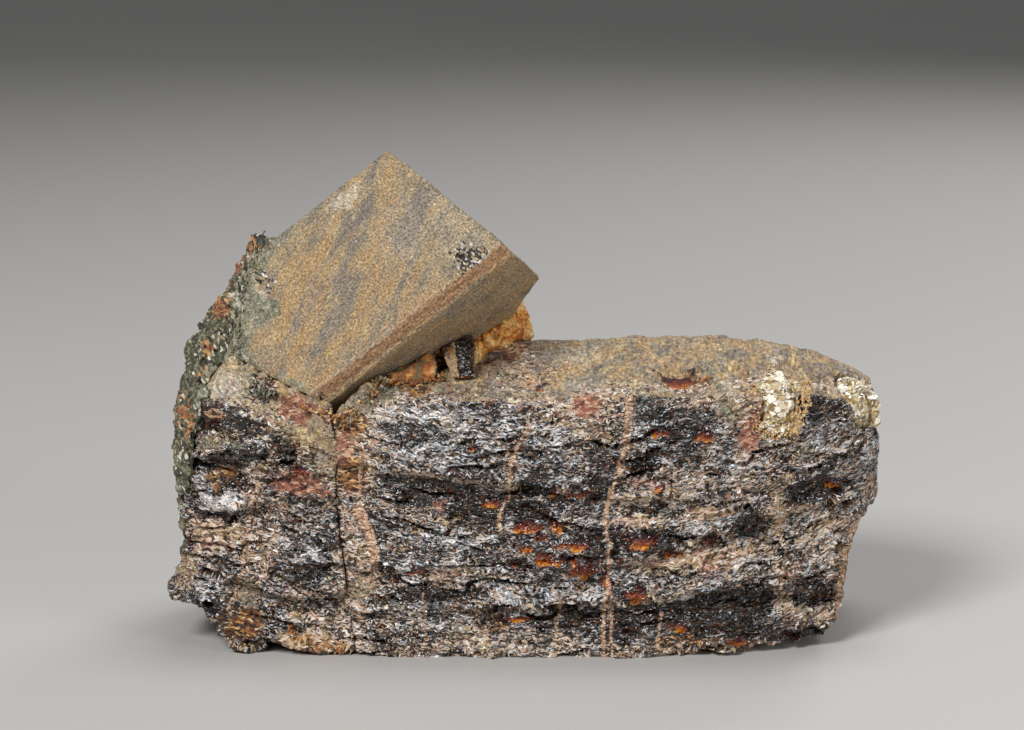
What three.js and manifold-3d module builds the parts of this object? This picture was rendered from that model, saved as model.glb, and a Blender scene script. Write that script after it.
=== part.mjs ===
// An aeschynite specimen, in millimetres, +Z up. X runs along the big crystal, +Y away from its
// broken front. A stout crystal lies on its side; a second, chisel-ended crystal leans back on it.
// A third, broken crystal closes the left end against a natural crack. Chlorite-rich rock backs
// the left side, stained feldspar fills the angle under the leaning crystal, a small wedge-shaped
// crystal and a low lump of rock stand in front of it, and muscovite sits in two nests at the right.
import * as THREE from "three";
import { mergeVertices } from "three/addons/utils/BufferGeometryUtils.js";
import { ImprovedNoise } from "three/addons/math/ImprovedNoise.js";
import Module from "manifold-3d";

const wasm = await Module();
wasm.setup();

// ---------------------------------------------------------------- driving dimensions
const GAP = 0.3; // the parting between neighbouring minerals
const UNDERCUT = 0.5; // height of the step below each broken ledge
const MAIN = { depth: 32, height: 27, spans: [27, 7] };
const LEFT = { depth: 15, height: 25, spans: [11, 6] };
const ROCK = { low: 1.8, high: 40.4, spans: [7, 6, 14] };
const SEAT = { left: -18.4, back: 27.5, spans: [12, 7, 3] };
const ANGLE_ROCK = { left: -13.2, right: -8, back: 11, spans: [5, 3, 2] };
// The wedge crystal widens upwards and leans back: `spread` on the left, `tilt` back per mm of height.
const WEDGE = {
  foot: 26.8, height: 9, left: -5.6, right: -3.8, spread: 4, front: 4.9, depth: 3.6, tilt: 1.05,
};
const NOTCH = { x: 18.2, y: 3.4, halfLength: 3.4, halfDepth: 3, drop: 1.8 }; // in the top's front edge

// The leaning crystal: a thick tablet whose long axis climbs to the right.
const LEANING = {
  corner: new THREE.Vector3(-0.1, 2.1, 41.3), // front right corner, where the side face ends
  axis: new THREE.Vector3(0.782, 0.024, 0.622), // along the prism, towards the chisel end
  facing: new THREE.Vector3(-0.3, -0.86, 0.41), // out of the broad front face
  length: 31,
  width: 17.5,
  thickness: 15,
  bevel: [1.5, 1.1], // the narrow face between front and side: along the side, along the front
  endSlope: 4, // how far the chisel end falls back over the crystal's width
  backFacet: { start: 10, run: 4.8, fall: 3.5 }, // the second face of the chisel
  // Where the rooted end stops, on the front face: along the prism and across it.
  roots: [{ at: [-25.4, 14.3], facing: [-0.66, 0.75] }, { at: [-27, 5.2], facing: [-0.91, -0.42] }],
};

// ---------------------------------------------------------------- outlines
// Each outline is a list of [position, value] points, read with along().
// The crack between the main and the left crystal: X by height.
const CRACK = [
  [0, -15.8], [6.2, -16.7], [12.3, -17.4], [18.8, -17.9], [20, -17.1], [22.4, -17.7], [27, -18.9],
];
const MAIN_OUTLINE = {
  rightByHeight: [
    [0, 32.2], [1.6, 33.6], [5, 33.6], [9.5, 34.8], [12, 35.4], [13.4, 37.2], [20, 37.1], [27, 37.2],
  ],
  frontByLength: [[-19, 0.9], [-14, 0.2], [12, 0], [22, 0.7], [28, 2.2], [33, 5], [38, 9.5]],
  backByLength: [[-19, 30.5], [-5, 32], [8, 32.4], [20, 31.6], [31, 28.4], [38, 23]],
  backByHeight: [[0, -1.6], [3.5, 0], [18, 0.3], [23, -0.8], [27, -3.2]], // worn back from its edges
  topByLength: [
    [-19, 23.6], [-15, 25.6], [-12, 26.9], [8, 26.8], [14, 27.3], [22, 27.3], [28, 27], [33, 25.9],
    [37.5, 23.4],
  ],
  topByDepth: [[0, -0.3], [3, 0], [10, 0.9], [18, 1.6], [25, 1.9], [32, 0.6]],
  footByLength: [[-19, 0.5], [-14, 0], [14, 0], [15, 0.5], [28, 0.6], [34, 1.4]],
};
const LEFT_OUTLINE = {
  leftByHeight: [[4.4, -34.9], [7, -34.3], [11, -33.1], [15, -33.2], [18.5, -32.8], [21, -31.9], [25, -31.2]],
  frontByLength: [[-34, 4.6], [-31, 2.6], [-27, 1.4], [-22, 0.9], [-16, 0.9]],
  topByLength: [[-34, 25.2], [-31, 26], [-27, 25.2], [-23.6, 23.8], [-19, 24.2], [-16, 24.4]],
  riseByDepth: [[0, 0], [1.5, 0.3], [4.2, 3.6], [6.4, 4.4], [15, 5]],
  riseByLength: [[-34, 0], [-31.4, 0.1], [-28.6, 1], [-16, 1]],
  footByLength: [[-34, 5], [-30.6, 4.5], [-29.6, 1.2], [-27, 0.2], [-24, 1.4], [-21, 0.2], [-16, 0.6]],
};
const ROCK_OUTLINE = {
  leftByHeight: [
    [2, -30], [5, -33.4], [8, -34.3], [11, -33.4], [16, -34.5], [21, -34.4], [27, -33.8], [30.2, -32.9],
    [32.5, -31.3], [36.4, -29.2], [38.8, -27.6], [41, -26],
  ],
  rightByHeight: [[3, -19], [24, -19], [31, -19.5], [36, -21], [41, -23.4]],
  frontByHeight: [
    [3, 6], [10, 4.2], [16, 3.4], [24, 3.8], [27, 5], [30, 7.2], [33, 8.6], [36, 9.6], [41, 11.4],
  ],
  backByHeight: [[3, 26], [18, 27], [30, 25], [41, 18]],
};
const SEAT_OUTLINE = {
  frontByLength: [
    [-18, 6], [-13.5, 8], [-7, 10.6], [-4.2, 10.2], [-3.6, 11.4], [-1.2, 13.4], [1.2, 19], [2, 22],
  ],
  rightByDepth: [[4, -3.8], [12, -2.6], [18, 0.2], [24, 1.8], [28, 1]],
  topByLength: [[-18, 31], [-6, 35], [0.2, 33.4], [1.4, 31.5]],
};
const ANGLE_OUTLINE = {
  frontByLength: [[-13.2, 6], [-11.4, 4.6], [-9.5, 4.3], [-8, 5.4]],
  slopeByLength: [[-13.2, 0.1], [-11.4, 0.2], [-9.5, 0.45], [-8, 0.65]], // of its top, per mm back
};

// The fronts of the two lying crystals are broken in courses, listed from the foot up. A course
// leans back from its lower edge, which stands out by `reach`, to the step under the next one.
// `upper` is its upper edge, Z by X, and the last course ends at the crystal's top.
const MAIN_COURSES = [
  {
    rows: 3,
    upper: [[-16, 5], [-3, 5.2], [5, 6], [14, 6.3], [20, 6.9], [32, 6.4]],
    reach: [[-16, 0.2], [34, 0.5]],
  },
  {
    rows: 3,
    upper: [[-13, 9.6], [-3, 9.2], [3, 8.4], [7, 8.7], [12, 10.2], [18, 12.2], [25, 14.6], [34, 15.6]],
    reach: [[-16, 0.2], [-6, 0.4], [0, 1.4], [30, 1.9]],
  },
  {
    rows: 4,
    upper: [[-16, 19.8], [-8, 19.2], [-2, 18.2], [6, 17.6], [12, 16.8], [22, 16.9], [30, 17.6], [37, 19.2]],
    reach: [[-16, 0.3], [-10, 0.9], [2, 0.4], [8, 1.5], [24, 1.6], [36, 0.8]],
  },
  { rows: 5, reach: [[-16, 0.8], [-10, 1.7], [8, 1.3], [18, 0.7], [37, 1.1]] },
];
const LEFT_COURSES = [
  {
    rows: 3,
    upper: [[-34, 8.4], [-29, 8], [-26, 7], [-22, 6.2], [-17, 7]],
    reach: [[-34, 0.2], [-17, 0.4]],
  },
  {
    rows: 3,
    upper: [[-33, 14.2], [-29, 15.4], [-26, 15.8], [-17, 16.6]],
    reach: [[-34, 0.4], [-27, 0.6], [-22, 1.6]],
  },
  {
    rows: 3,
    upper: [[-32, 20.6], [-27, 19.8], [-22, 18.8]],
    reach: [[-33, 1.2], [-26, 0.9], [-19, 0.2]],
  },
  { rows: 3, reach: [[-32, 1.4], [-25, 1.2], [-20, 0.3]] },
];

// Muscovite nests: where each is rooted, and the radius and number of its books.
const MICA_NESTS = [
  { name: "mica_front", centre: [26.6, 3.6, 25.2], radii: [2.2, 2.4, 3.4], book: 1.3, books: 6, seed: 11 },
  { name: "mica_end", centre: [34.6, 11.5, 23.6], radii: [2.5, 4.8, 3.2], book: 1.4, books: 7, seed: 23 },
];

// ---------------------------------------------------------------- small tools
const perlin = new ImprovedNoise();

// Smooth pits and swellings of about `size` millimetres, from -1 to 1.
function lumps(p, size, shift = 0) {
  return perlin.noise(p.x / size + shift, p.y / size + 1.7 * shift, p.z / size - shift);
}

// Value at t on the line through [t, value] points, level beyond its ends.
function along(points, t) {
  const last = points.length - 1;
  if (t <= points[0][0]) return points[0][1];
  if (t >= points[last][0]) return points[last][1];
  const i = points.findIndex(([at]) => at > t);
  const [t0, v0] = points[i - 1];
  const [t1, v1] = points[i];
  return THREE.MathUtils.lerp(v0, v1, (t - t0) / (t1 - t0));
}

// The rows of points up a front broken in courses: `t` runs from 0 to 1 within each course.
function courseRows(courses) {
  return courses.flatMap((course, k) => {
    const last = k === courses.length - 1;
    const steps = last ? course.rows : course.rows - 1;
    const lower = k > 0 ? courses[k - 1].upper : null;
    return Array.from({ length: steps + 1 }, (_, i) => ({ course, lower, t: i / steps, last }));
  });
}

// Height of a row at x, between the crystal's own foot and top.
function rowHeight({ course, lower, t, last }, x, foot, top) {
  const from = lower ? along(lower, x) : foot;
  const to = last ? top : along(course.upper, x) - UNDERCUT;
  return THREE.MathUtils.lerp(from, to, t);
}

// How far a row stands out of the front: most at the course's lower edge.
function rowReach({ course, t, last }, x) {
  const underNext = last ? 0 : 0.5 * t ** 3;
  return along(course.reach, x) * (1 - t) ** 1.4 - underNext;
}

// A block of the given spans whose unit-cube points (a, b, c) are moved by `place`.
function shapedBlock([nx, ny, nz], place) {
  const geometry = new THREE.BoxGeometry(1, 1, 1, nx, ny, nz);
  geometry.translate(0.5, 0.5, 0.5);
  geometry.deleteAttribute("normal");
  geometry.deleteAttribute("uv");
  const merged = mergeVertices(geometry, 1e-4);
  const position = merged.getAttribute("position");
  for (let i = 0; i < position.count; i++) {
    const p = place(position.getX(i), position.getY(i), position.getZ(i));
    position.setXYZ(i, p.x, p.y, p.z);
  }
  return merged;
}

function solid(geometry) {
  const bare = geometry.clone();
  bare.deleteAttribute("normal");
  bare.deleteAttribute("uv");
  const merged = mergeVertices(bare, 1e-4);
  return new wasm.Manifold(new wasm.Mesh({
    numProp: 3,
    vertProperties: new Float32Array(merged.getAttribute("position").array),
    triVerts: new Uint32Array(merged.index.array),
  }));
}

// The largest connected piece of a solid: a cut may leave crumbs behind.
function largest(made) {
  return made.decompose().reduce((a, b) => (a.volume() > b.volume() ? a : b));
}

function mesh(name, made, finish) {
  const cut = largest(made).getMesh();
  const geometry = new THREE.BufferGeometry();
  geometry.setAttribute("position", new THREE.BufferAttribute(cut.vertProperties, 3));
  geometry.setIndex(new THREE.BufferAttribute(cut.triVerts, 1));
  geometry.computeVertexNormals();
  const one = new THREE.Mesh(geometry, finish);
  one.name = name;
  return one;
}

// ---------------------------------------------------------------- finishes
const finishes = {
  brokenAeschynite: new THREE.MeshStandardMaterial({ color: 0x2b2826, roughness: 0.35, metalness: 0 }),
  skinnedAeschynite: new THREE.MeshStandardMaterial({ color: 0x9a8a72, roughness: 0.85, metalness: 0 }),
  chloriteRock: new THREE.MeshStandardMaterial({ color: 0x6d7060, roughness: 0.9, metalness: 0 }),
  stainedFeldspar: new THREE.MeshStandardMaterial({ color: 0x9c6a42, roughness: 0.8, metalness: 0 }),
  muscovite: new THREE.MeshStandardMaterial({ color: 0xcabf9c, roughness: 0.4, metalness: 0.1 }),
};

// ---------------------------------------------------------------- the crystals and their rock
// X of the crack at height z; it leans a little to the left as it goes back.
function crackAt(y, z) {
  return along(CRACK, z) - 0.05 * y;
}

function mainTop(x, y) {
  const o = MAIN_OUTLINE;
  const off = ((x - NOTCH.x) / NOTCH.halfLength) ** 2 + ((y - NOTCH.y) / NOTCH.halfDepth) ** 2;
  return along(o.topByLength, x) + along(o.topByDepth, y) - NOTCH.drop * Math.max(0, 1 - off);
}

// `grow` swells a piece evenly, for cutting its neighbours clear of it.
function swell(p, grow, a, b, c) {
  return p.add(new THREE.Vector3(2 * a - 1, 2 * b - 1, 2 * c - 1).multiplyScalar(grow));
}

function mainCrystal(grow = 0) {
  const o = MAIN_OUTLINE;
  const rows = courseRows(MAIN_COURSES);
  const last = rows.length - 1;
  return shapedBlock([...MAIN.spans, last], (a, b, c) => {
    const row = rows[Math.round(c * last)];
    const level = rowHeight(row, THREE.MathUtils.lerp(-17, 36, a), 0, MAIN.height);
    const inward = b ** 1.6; // closer rows near the broken front
    const depth = inward * MAIN.depth;
    const x = THREE.MathUtils.lerp(crackAt(depth, level) - GAP, along(o.rightByHeight, level), a);
    const p = new THREE.Vector3(x, 0, rowHeight(row, x, along(o.footByLength, x), mainTop(x, depth)));
    const back = along(o.backByLength, x) + along(o.backByHeight, level);
    p.y = THREE.MathUtils.lerp(along(o.frontByLength, x) - rowReach(row, x), back, inward);
    // Broken front and ends are rough; the foot stays flat and the crack stays parted.
    const rough = (b === 0 ? 1.1 : 0.5) * Math.min(1, 6 * a);
    p.y += rough * lumps(p, 3.3);
    p.x += 0.5 * rough * lumps(p, 5.3, 2);
    if (c > 0) p.z += 0.5 * rough * lumps(p, 5.1, 5);
    return swell(p, grow, a, b, c);
  });
}

function leftCrystal(grow = 0) {
  const o = LEFT_OUTLINE;
  const rows = courseRows(LEFT_COURSES);
  const last = rows.length - 1;
  return shapedBlock([...LEFT.spans, last], (a, b, c) => {
    const row = rows[Math.round(c * last)];
    const level = rowHeight(row, THREE.MathUtils.lerp(-33, -17, a), 1, LEFT.height);
    const depth = b ** 1.3 * LEFT.depth;
    const x = THREE.MathUtils.lerp(along(o.leftByHeight, level), crackAt(depth, level), a);
    const top = along(o.topByLength, x) + along(o.riseByLength, x) * along(o.riseByDepth, depth);
    const p = new THREE.Vector3(x, 0, rowHeight(row, x, along(o.footByLength, x), top));
    const back = LEFT.depth - 5 * (1 - c) ** 3; // worn away under the rock
    p.y = THREE.MathUtils.lerp(along(o.frontByLength, x) - rowReach(row, x), back, b ** 1.3);
    const rough = (b === 0 ? 1.0 : 0.4) * Math.min(1, 6 * (1 - a));
    p.y += rough * lumps(p, 3.1, 3);
    p.x += 0.5 * rough * lumps(p, 4.7, 6);
    if (c > 0) p.z += 0.4 * rough * lumps(p, 5.1, 9);
    return swell(p, grow, a, b, c);
  });
}

// The leaning crystal's own axes: X' along the prism, Y' up across the front face, Z' out of it.
function leaningAxes() {
  const { corner, axis, facing } = LEANING;
  const out = facing.clone().normalize();
  const lengthwise = axis.clone().addScaledVector(out, -axis.dot(out)).normalize();
  const across = new THREE.Vector3().crossVectors(out, lengthwise);
  return new THREE.Matrix4().makeBasis(lengthwise, across, out).setPosition(corner);
}

// A slab far larger than the crystal, whose lower face lies on the plane through `point`.
function beyond(point, normal) {
  const size = 80;
  const slab = new THREE.BoxGeometry(size, size, size).translate(0, 0, size / 2);
  const turn = new THREE.Quaternion().setFromUnitVectors(new THREE.Vector3(0, 0, 1), normal.normalize());
  slab.applyQuaternion(turn).translate(point.x, point.y, point.z);
  return solid(slab);
}

function leaningCrystal(grow = 0) {
  const { length, width, thickness, bevel, endSlope, backFacet, roots } = LEANING;
  const section = new THREE.Shape([
    new THREE.Vector2(-grow, -thickness - grow),
    new THREE.Vector2(width + grow, -thickness - grow),
    new THREE.Vector2(width + grow, grow),
    new THREE.Vector2(bevel[1], grow),
    new THREE.Vector2(-grow, -bevel[0]),
  ]);
  const prism = new THREE.ExtrudeGeometry(section, { depth: length + 2, steps: 1, bevelEnabled: false });
  // The section is drawn in Y'Z' and pulled along X'.
  prism.applyMatrix4(new THREE.Matrix4().makeBasis(
    new THREE.Vector3(0, 1, 0), new THREE.Vector3(0, 0, 1), new THREE.Vector3(1, 0, 0)));
  prism.translate(-length - grow, 0, 0);
  const chisel = beyond(new THREE.Vector3(grow, 0, 0), new THREE.Vector3(width, endSlope, 0));
  const { start, run, fall } = backFacet;
  const behind = beyond(
    new THREE.Vector3(grow, 0, -start), new THREE.Vector3(fall, (fall * endSlope) / width, -run));
  const rootEnds = roots.map(({ at, facing }) => {
    const outward = new THREE.Vector3(facing[0], facing[1], 0).normalize();
    return beyond(new THREE.Vector3(at[0], at[1], 0).addScaledVector(outward, grow), outward);
  });
  return [chisel, behind, ...rootEnds]
    .reduce((made, slab) => made.subtract(slab), solid(prism))
    .transform(leaningAxes().toArray());
}

function chloriteRock() {
  const o = ROCK_OUTLINE;
  return shapedBlock(ROCK.spans, (a, b, c) => {
    const z = THREE.MathUtils.lerp(ROCK.low, ROCK.high, c);
    const p = new THREE.Vector3(
      THREE.MathUtils.lerp(along(o.leftByHeight, z), along(o.rightByHeight, z), a),
      THREE.MathUtils.lerp(along(o.frontByHeight, z), along(o.backByHeight, z), b),
      z);
    // Corners are worn back, so that it reads as a lump and not a box.
    const corner = (2 * b - 1) ** 2 * (1 - a) * 2.2 * (b > 0.5 ? 1 : 0.35);
    p.x += corner + 1.1 * (1 - a) * lumps(p, 4.3, 4);
    p.y += (b > 0 ? 0.9 : 0.5) * lumps(p, 4.9, 8);
    p.z += 1.0 * lumps(p, 5.7, 12) - c * 2 * Math.abs(2 * b - 0.9);
    return p;
  });
}

function feldsparSeat() {
  const o = SEAT_OUTLINE;
  return shapedBlock(SEAT.spans, (a, b, c) => {
    const depth = THREE.MathUtils.lerp(4.6, SEAT.back, b);
    const x = THREE.MathUtils.lerp(SEAT.left, along(o.rightByDepth, depth), a) + a * (0.6 - 1.2 * c);
    const y = THREE.MathUtils.lerp(along(o.frontByLength, x), SEAT.back - 2 * c * (1 - a), b);
    const p = new THREE.Vector3(x, y, THREE.MathUtils.lerp(mainTop(x, y) - 0.5, along(o.topByLength, x), c));
    if (c > 0) p.addScalar(0.8 * Math.min(1, 5 * a) * lumps(p, 3.7, 7));
    return p;
  });
}

// The low lump in the angle between the lying and the leaning crystal.
function angleRock() {
  const o = ANGLE_OUTLINE;
  return shapedBlock(ANGLE_ROCK.spans, (a, b, c) => {
    const x = THREE.MathUtils.lerp(ANGLE_ROCK.left, ANGLE_ROCK.right, a);
    const front = along(o.frontByLength, x);
    const y = THREE.MathUtils.lerp(front, ANGLE_ROCK.back, b);
    const high = mainTop(x, y) + 0.5 + along(o.slopeByLength, x) * (y - front);
    const p = new THREE.Vector3(x, y, THREE.MathUtils.lerp(mainTop(x, y) - 0.6, high, c));
    if (c > 0) p.addScalar(0.3 * lumps(p, 2.3, 5));
    return p;
  });
}

// The small crystal in the angle: a narrow wedge, broken across its front.
function wedgeCrystal(grow = 0) {
  const { foot, height, left, right, spread, front, depth, tilt } = WEDGE;
  const profile = new THREE.Shape([
    new THREE.Vector2(left - grow, foot - grow),
    new THREE.Vector2(right + grow, foot - grow),
    new THREE.Vector2(right + grow - 0.15 * spread, foot + height),
    new THREE.Vector2(left - grow - spread, foot + height),
  ]);
  const pull = { depth: depth + 2 * grow, steps: 3, bevelEnabled: false };
  const wedge = new THREE.ExtrudeGeometry(profile, pull);
  // Drawn in XZ, pulled back along Y, then leant back.
  wedge.applyMatrix4(new THREE.Matrix4().makeRotationX(Math.PI / 2)).translate(0, depth + grow, 0);
  wedge.translate(0, 0, -foot).applyMatrix4(new THREE.Matrix4().makeShear(0, 0, 0, 0, 0, tilt));
  return wedge.translate(0, front, foot);
}

// A nest of muscovite: a lump with thin books standing out of it at seeded angles.
function micaNest({ centre, radii, book: reach, books, seed }, grow = 0) {
  const lump = new THREE.IcosahedronGeometry(1, 2).scale(...radii.map((r) => r + grow));
  lump.translate(...centre);
  let nest = solid(lump);
  for (let i = 0; i < books; i++) {
    const turn = new THREE.Euler(seed + 2.4 * i, 0.9 * seed + 1.7 * i, 3.1 * i);
    const book = new THREE.CylinderGeometry(reach + grow, 1.15 * reach + grow, 0.5 + 2 * grow, 6);
    const around = 2.4 * i + seed;
    const out = new THREE.Vector3(Math.cos(around), -0.4 - 0.5 * Math.cos(1.3 * i), Math.sin(around));
    out.normalize();
    book.applyQuaternion(new THREE.Quaternion().setFromEuler(turn));
    book.translate(...centre.map((at, k) => at + 0.82 * radii[k] * out.getComponent(k)));
    nest = nest.add(solid(book));
  }
  return nest;
}

// ---------------------------------------------------------------- assembly
// Each piece is cut clear of the ones that were there before it: `rooms` are their swollen shapes.
function clearOf(made, ...rooms) {
  return rooms.reduce((left, room) => left.subtract(room), made);
}

const leaningRoom = leaningCrystal(GAP);
const leftRoom = solid(leftCrystal(GAP));
const mainRoom = solid(mainCrystal(GAP));
const wedgeRoom = solid(wedgeCrystal(GAP));
const nestRooms = MICA_NESTS.map((nest) => micaNest(nest, GAP));

const leaning = leaningCrystal();
const left = clearOf(solid(leftCrystal()), leaningRoom);
const main = clearOf(solid(mainCrystal()), leaningRoom, leftRoom, ...nestRooms);
const rock = clearOf(solid(chloriteRock()), leaningRoom, leftRoom, mainRoom);
const wedge = clearOf(solid(wedgeCrystal()), leaningRoom, mainRoom);
const seat = clearOf(solid(feldsparSeat()), leaningRoom, leftRoom, mainRoom, wedgeRoom);
const angle = clearOf(solid(angleRock()), leaningRoom, mainRoom, wedgeRoom);

const specimen = new THREE.Group();
specimen.add(mesh("main_crystal", main, finishes.brokenAeschynite));
specimen.add(mesh("left_crystal", left, finishes.brokenAeschynite));
specimen.add(mesh("leaning_crystal", leaning, finishes.skinnedAeschynite));
specimen.add(mesh("chlorite_rock", rock, finishes.chloriteRock));
specimen.add(mesh("feldspar_seat", seat, finishes.stainedFeldspar));
specimen.add(mesh("angle_rock", angle, finishes.stainedFeldspar));
specimen.add(mesh("wedge_crystal", wedge, finishes.brokenAeschynite));
for (const nest of MICA_NESTS) specimen.add(mesh(nest.name, micaNest(nest), finishes.muscovite));

// The origin is under the middle of the specimen, on the surface that it rests on.
const bounds = new THREE.Box3().setFromObject(specimen);
const middle = bounds.getCenter(new THREE.Vector3());
specimen.position.set(-middle.x, -middle.y, -bounds.min.z);

export default specimen;
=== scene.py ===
import math
import random

import bmesh
import bpy
import numpy as np
from mathutils import Matrix, Vector, noise


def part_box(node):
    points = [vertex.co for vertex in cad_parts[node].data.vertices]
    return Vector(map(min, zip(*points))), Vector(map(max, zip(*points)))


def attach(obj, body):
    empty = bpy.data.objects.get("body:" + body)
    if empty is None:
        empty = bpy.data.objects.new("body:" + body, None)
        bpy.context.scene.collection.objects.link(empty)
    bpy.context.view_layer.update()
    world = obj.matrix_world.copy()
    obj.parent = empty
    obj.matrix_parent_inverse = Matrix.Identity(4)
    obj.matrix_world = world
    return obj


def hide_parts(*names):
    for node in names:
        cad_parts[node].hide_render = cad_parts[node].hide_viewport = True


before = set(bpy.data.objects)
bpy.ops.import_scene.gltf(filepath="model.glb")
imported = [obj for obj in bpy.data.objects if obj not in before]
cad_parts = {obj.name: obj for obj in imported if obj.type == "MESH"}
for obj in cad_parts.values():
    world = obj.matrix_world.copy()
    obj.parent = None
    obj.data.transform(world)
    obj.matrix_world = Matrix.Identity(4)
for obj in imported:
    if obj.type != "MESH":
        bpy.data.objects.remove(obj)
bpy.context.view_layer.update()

# Aeschynite specimen, 73 mm across. Sizes below are millimetres on the maker's drawing: X right,
# Y away from the viewer, Z up from the table, and Y = 0 on the plane of the broken front.
MM = 0.001
DRAWN_LOW = Vector((-29.02, 2.06, 19.83))  # the leaning crystal's lowest corner on the drawing
STAND = Vector(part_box("leaning_crystal")[0]) - DRAWN_LOW * MM
TO_DRAWING = Matrix.Scale(1 / MM, 4) @ Matrix.Translation(-STAND)
FROM_DRAWING = TO_DRAWING.inverted()

TILT = math.radians(10)  # the viewer looks down by this much
SIGHT = Vector((0, math.cos(TILT), -math.sin(TILT)))
REACH = 340.0
EYE = Vector((0, 0, 30)) - REACH * SIGHT

# The leaning crystal's own frame: its lower right corner, then the directions along its long edge, up its
# face and outward.
LEAN_CORNER = np.array((-0.1, 2.1, 41.3))
OUTWARD = Vector((-0.3, -0.86, 0.41)).normalized()
LONG = Vector((0.782, 0.024, 0.622))
LONG = (LONG - OUTWARD * LONG.dot(OUTWARD)).normalized()
LEAN_AXES = np.array((LONG, OUTWARD.cross(LONG), OUTWARD))
SCRATCH_TURN = math.radians(-28)  # how far its scratches turn off the long edge

# How wide the even faces of each solid's copy are, before its broken parts are refined.
GRAINS = {
    "main_crystal": 0.59, "left_crystal": 0.36, "leaning_crystal": 0.27, "chlorite_rock": 0.42,
    "feldspar_seat": 0.3, "angle_rock": 0.15, "wedge_crystal": 0.15, "mica_front": 0.3, "mica_end": 0.3,
}
DEEPEST, PROUDEST = -0.9, 0.45  # how far a break may cut into the solid and stand out of it
LEDGE_HEIGHT = 2.3  # from one ledge of the broken front to the next
PLATE_RADIUS = (0.16, 0.46)
PLATE_THICKNESS = (0.05, 0.1)
FAR_OFF = -9.0  # the reach of a spot or vein where there is none near

noise.seed_set(1)  # the noise would start from the clock, and every run would break the stone anew

# Places on the broken front are given where the line of sight meets the plane Y = 0:
# x, z, half width, half height, turn in degrees, and for some how strong.

# Painted glints (silvery flashes on the break), painted shade (pitch black patches with few painted glints,
# cut in a little as hollows) and amber windows.
PAINTED_GLINTS = [
    (-7.9, 23.3, 6.79, 3.71, -8, 0.85), (0.7, 6.5, 3.32, 1.73, 12, 0.9), (23.5, 9.9, 1.81, 0.91, 12, 1.2),
    (21.2, 8.1, 1.91, 0.91, 6, 0.8), (-28.8, 16.2, 2.4, 1.2, -5, 2), (-27.6, 25.5, 1.7, 0.4, -30, 1),
    (-25, 22.7, 1.6, 0.4, -26, 0.9), (-15.8, 12.7, 1.2, 1.42, 0, 0.5), (20.8, 22.4, 1.5, 1.7, 0, 0.7),
    (22.9, 17.3, 2.5, 1.8, 0, 0.25), (14.4, 14.2, 4.5, 0.6, 3, 0.5), (14.2, 16.7, 4.6, 0.8, 2, 1),
    (31.5, 22, 3.5, 3, 0, 0.5), (30.5, 12.5, 3, 2.6, 0, 0.7), (-30.2, 7.7, 1.86, 1.73, 0, 0.8),
    (-21.2, 12.4, 3.17, 2.95, 10, 0.25), (4.5, 12.5, 4.5, 3, 0, 0.25), (31.8, 10.1, 1.61, 1.68, 0, 0.6),
    (-8.2, 10.8, 5.5, 2.3, 8, 0.55), (-9, 4.5, 5, 2.2, 0, 0.35), (33.5, 20, 2.5, 3, 0, 0.4),
    (5.7, 6.4, 3.37, 1.17, 5, 1), (14.8, 17.4, 3.02, 1.12, 8, 0.7), (20.3, 14.1, 2.62, 0.71, 12, 0.7),
    (15.9, 7.1, 3.02, 1.12, 4, 0.5), (35.8, 19.5, 1.21, 3.25, 0, 0.6), (1.1, 1.5, 3.37, 1.32, 0, 0.45),
    (1.1, 24.7, 2.31, 2.29, 0, 0.4), (4.6, 22.4, 1.21, 1.52, 0, 0.7), (-31.5, 18.8, 1, 1.3, 0, 0.4),
    (15.4, 20.9, 1.41, 1.52, 0, 0.3), (20.6, 21.4, 1.76, 2.03, 0, 0.4), (-15, 17, 1.01, 5.33, 0, -0.1),
    (11.9, 8, 3.02, 2.03, 0, 0.4), (2.8, 18.7, 2.01, 0.61, 0, 0.5), (23.3, 20.1, 0.7, 0.76, 0, 0.9),
]
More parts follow.
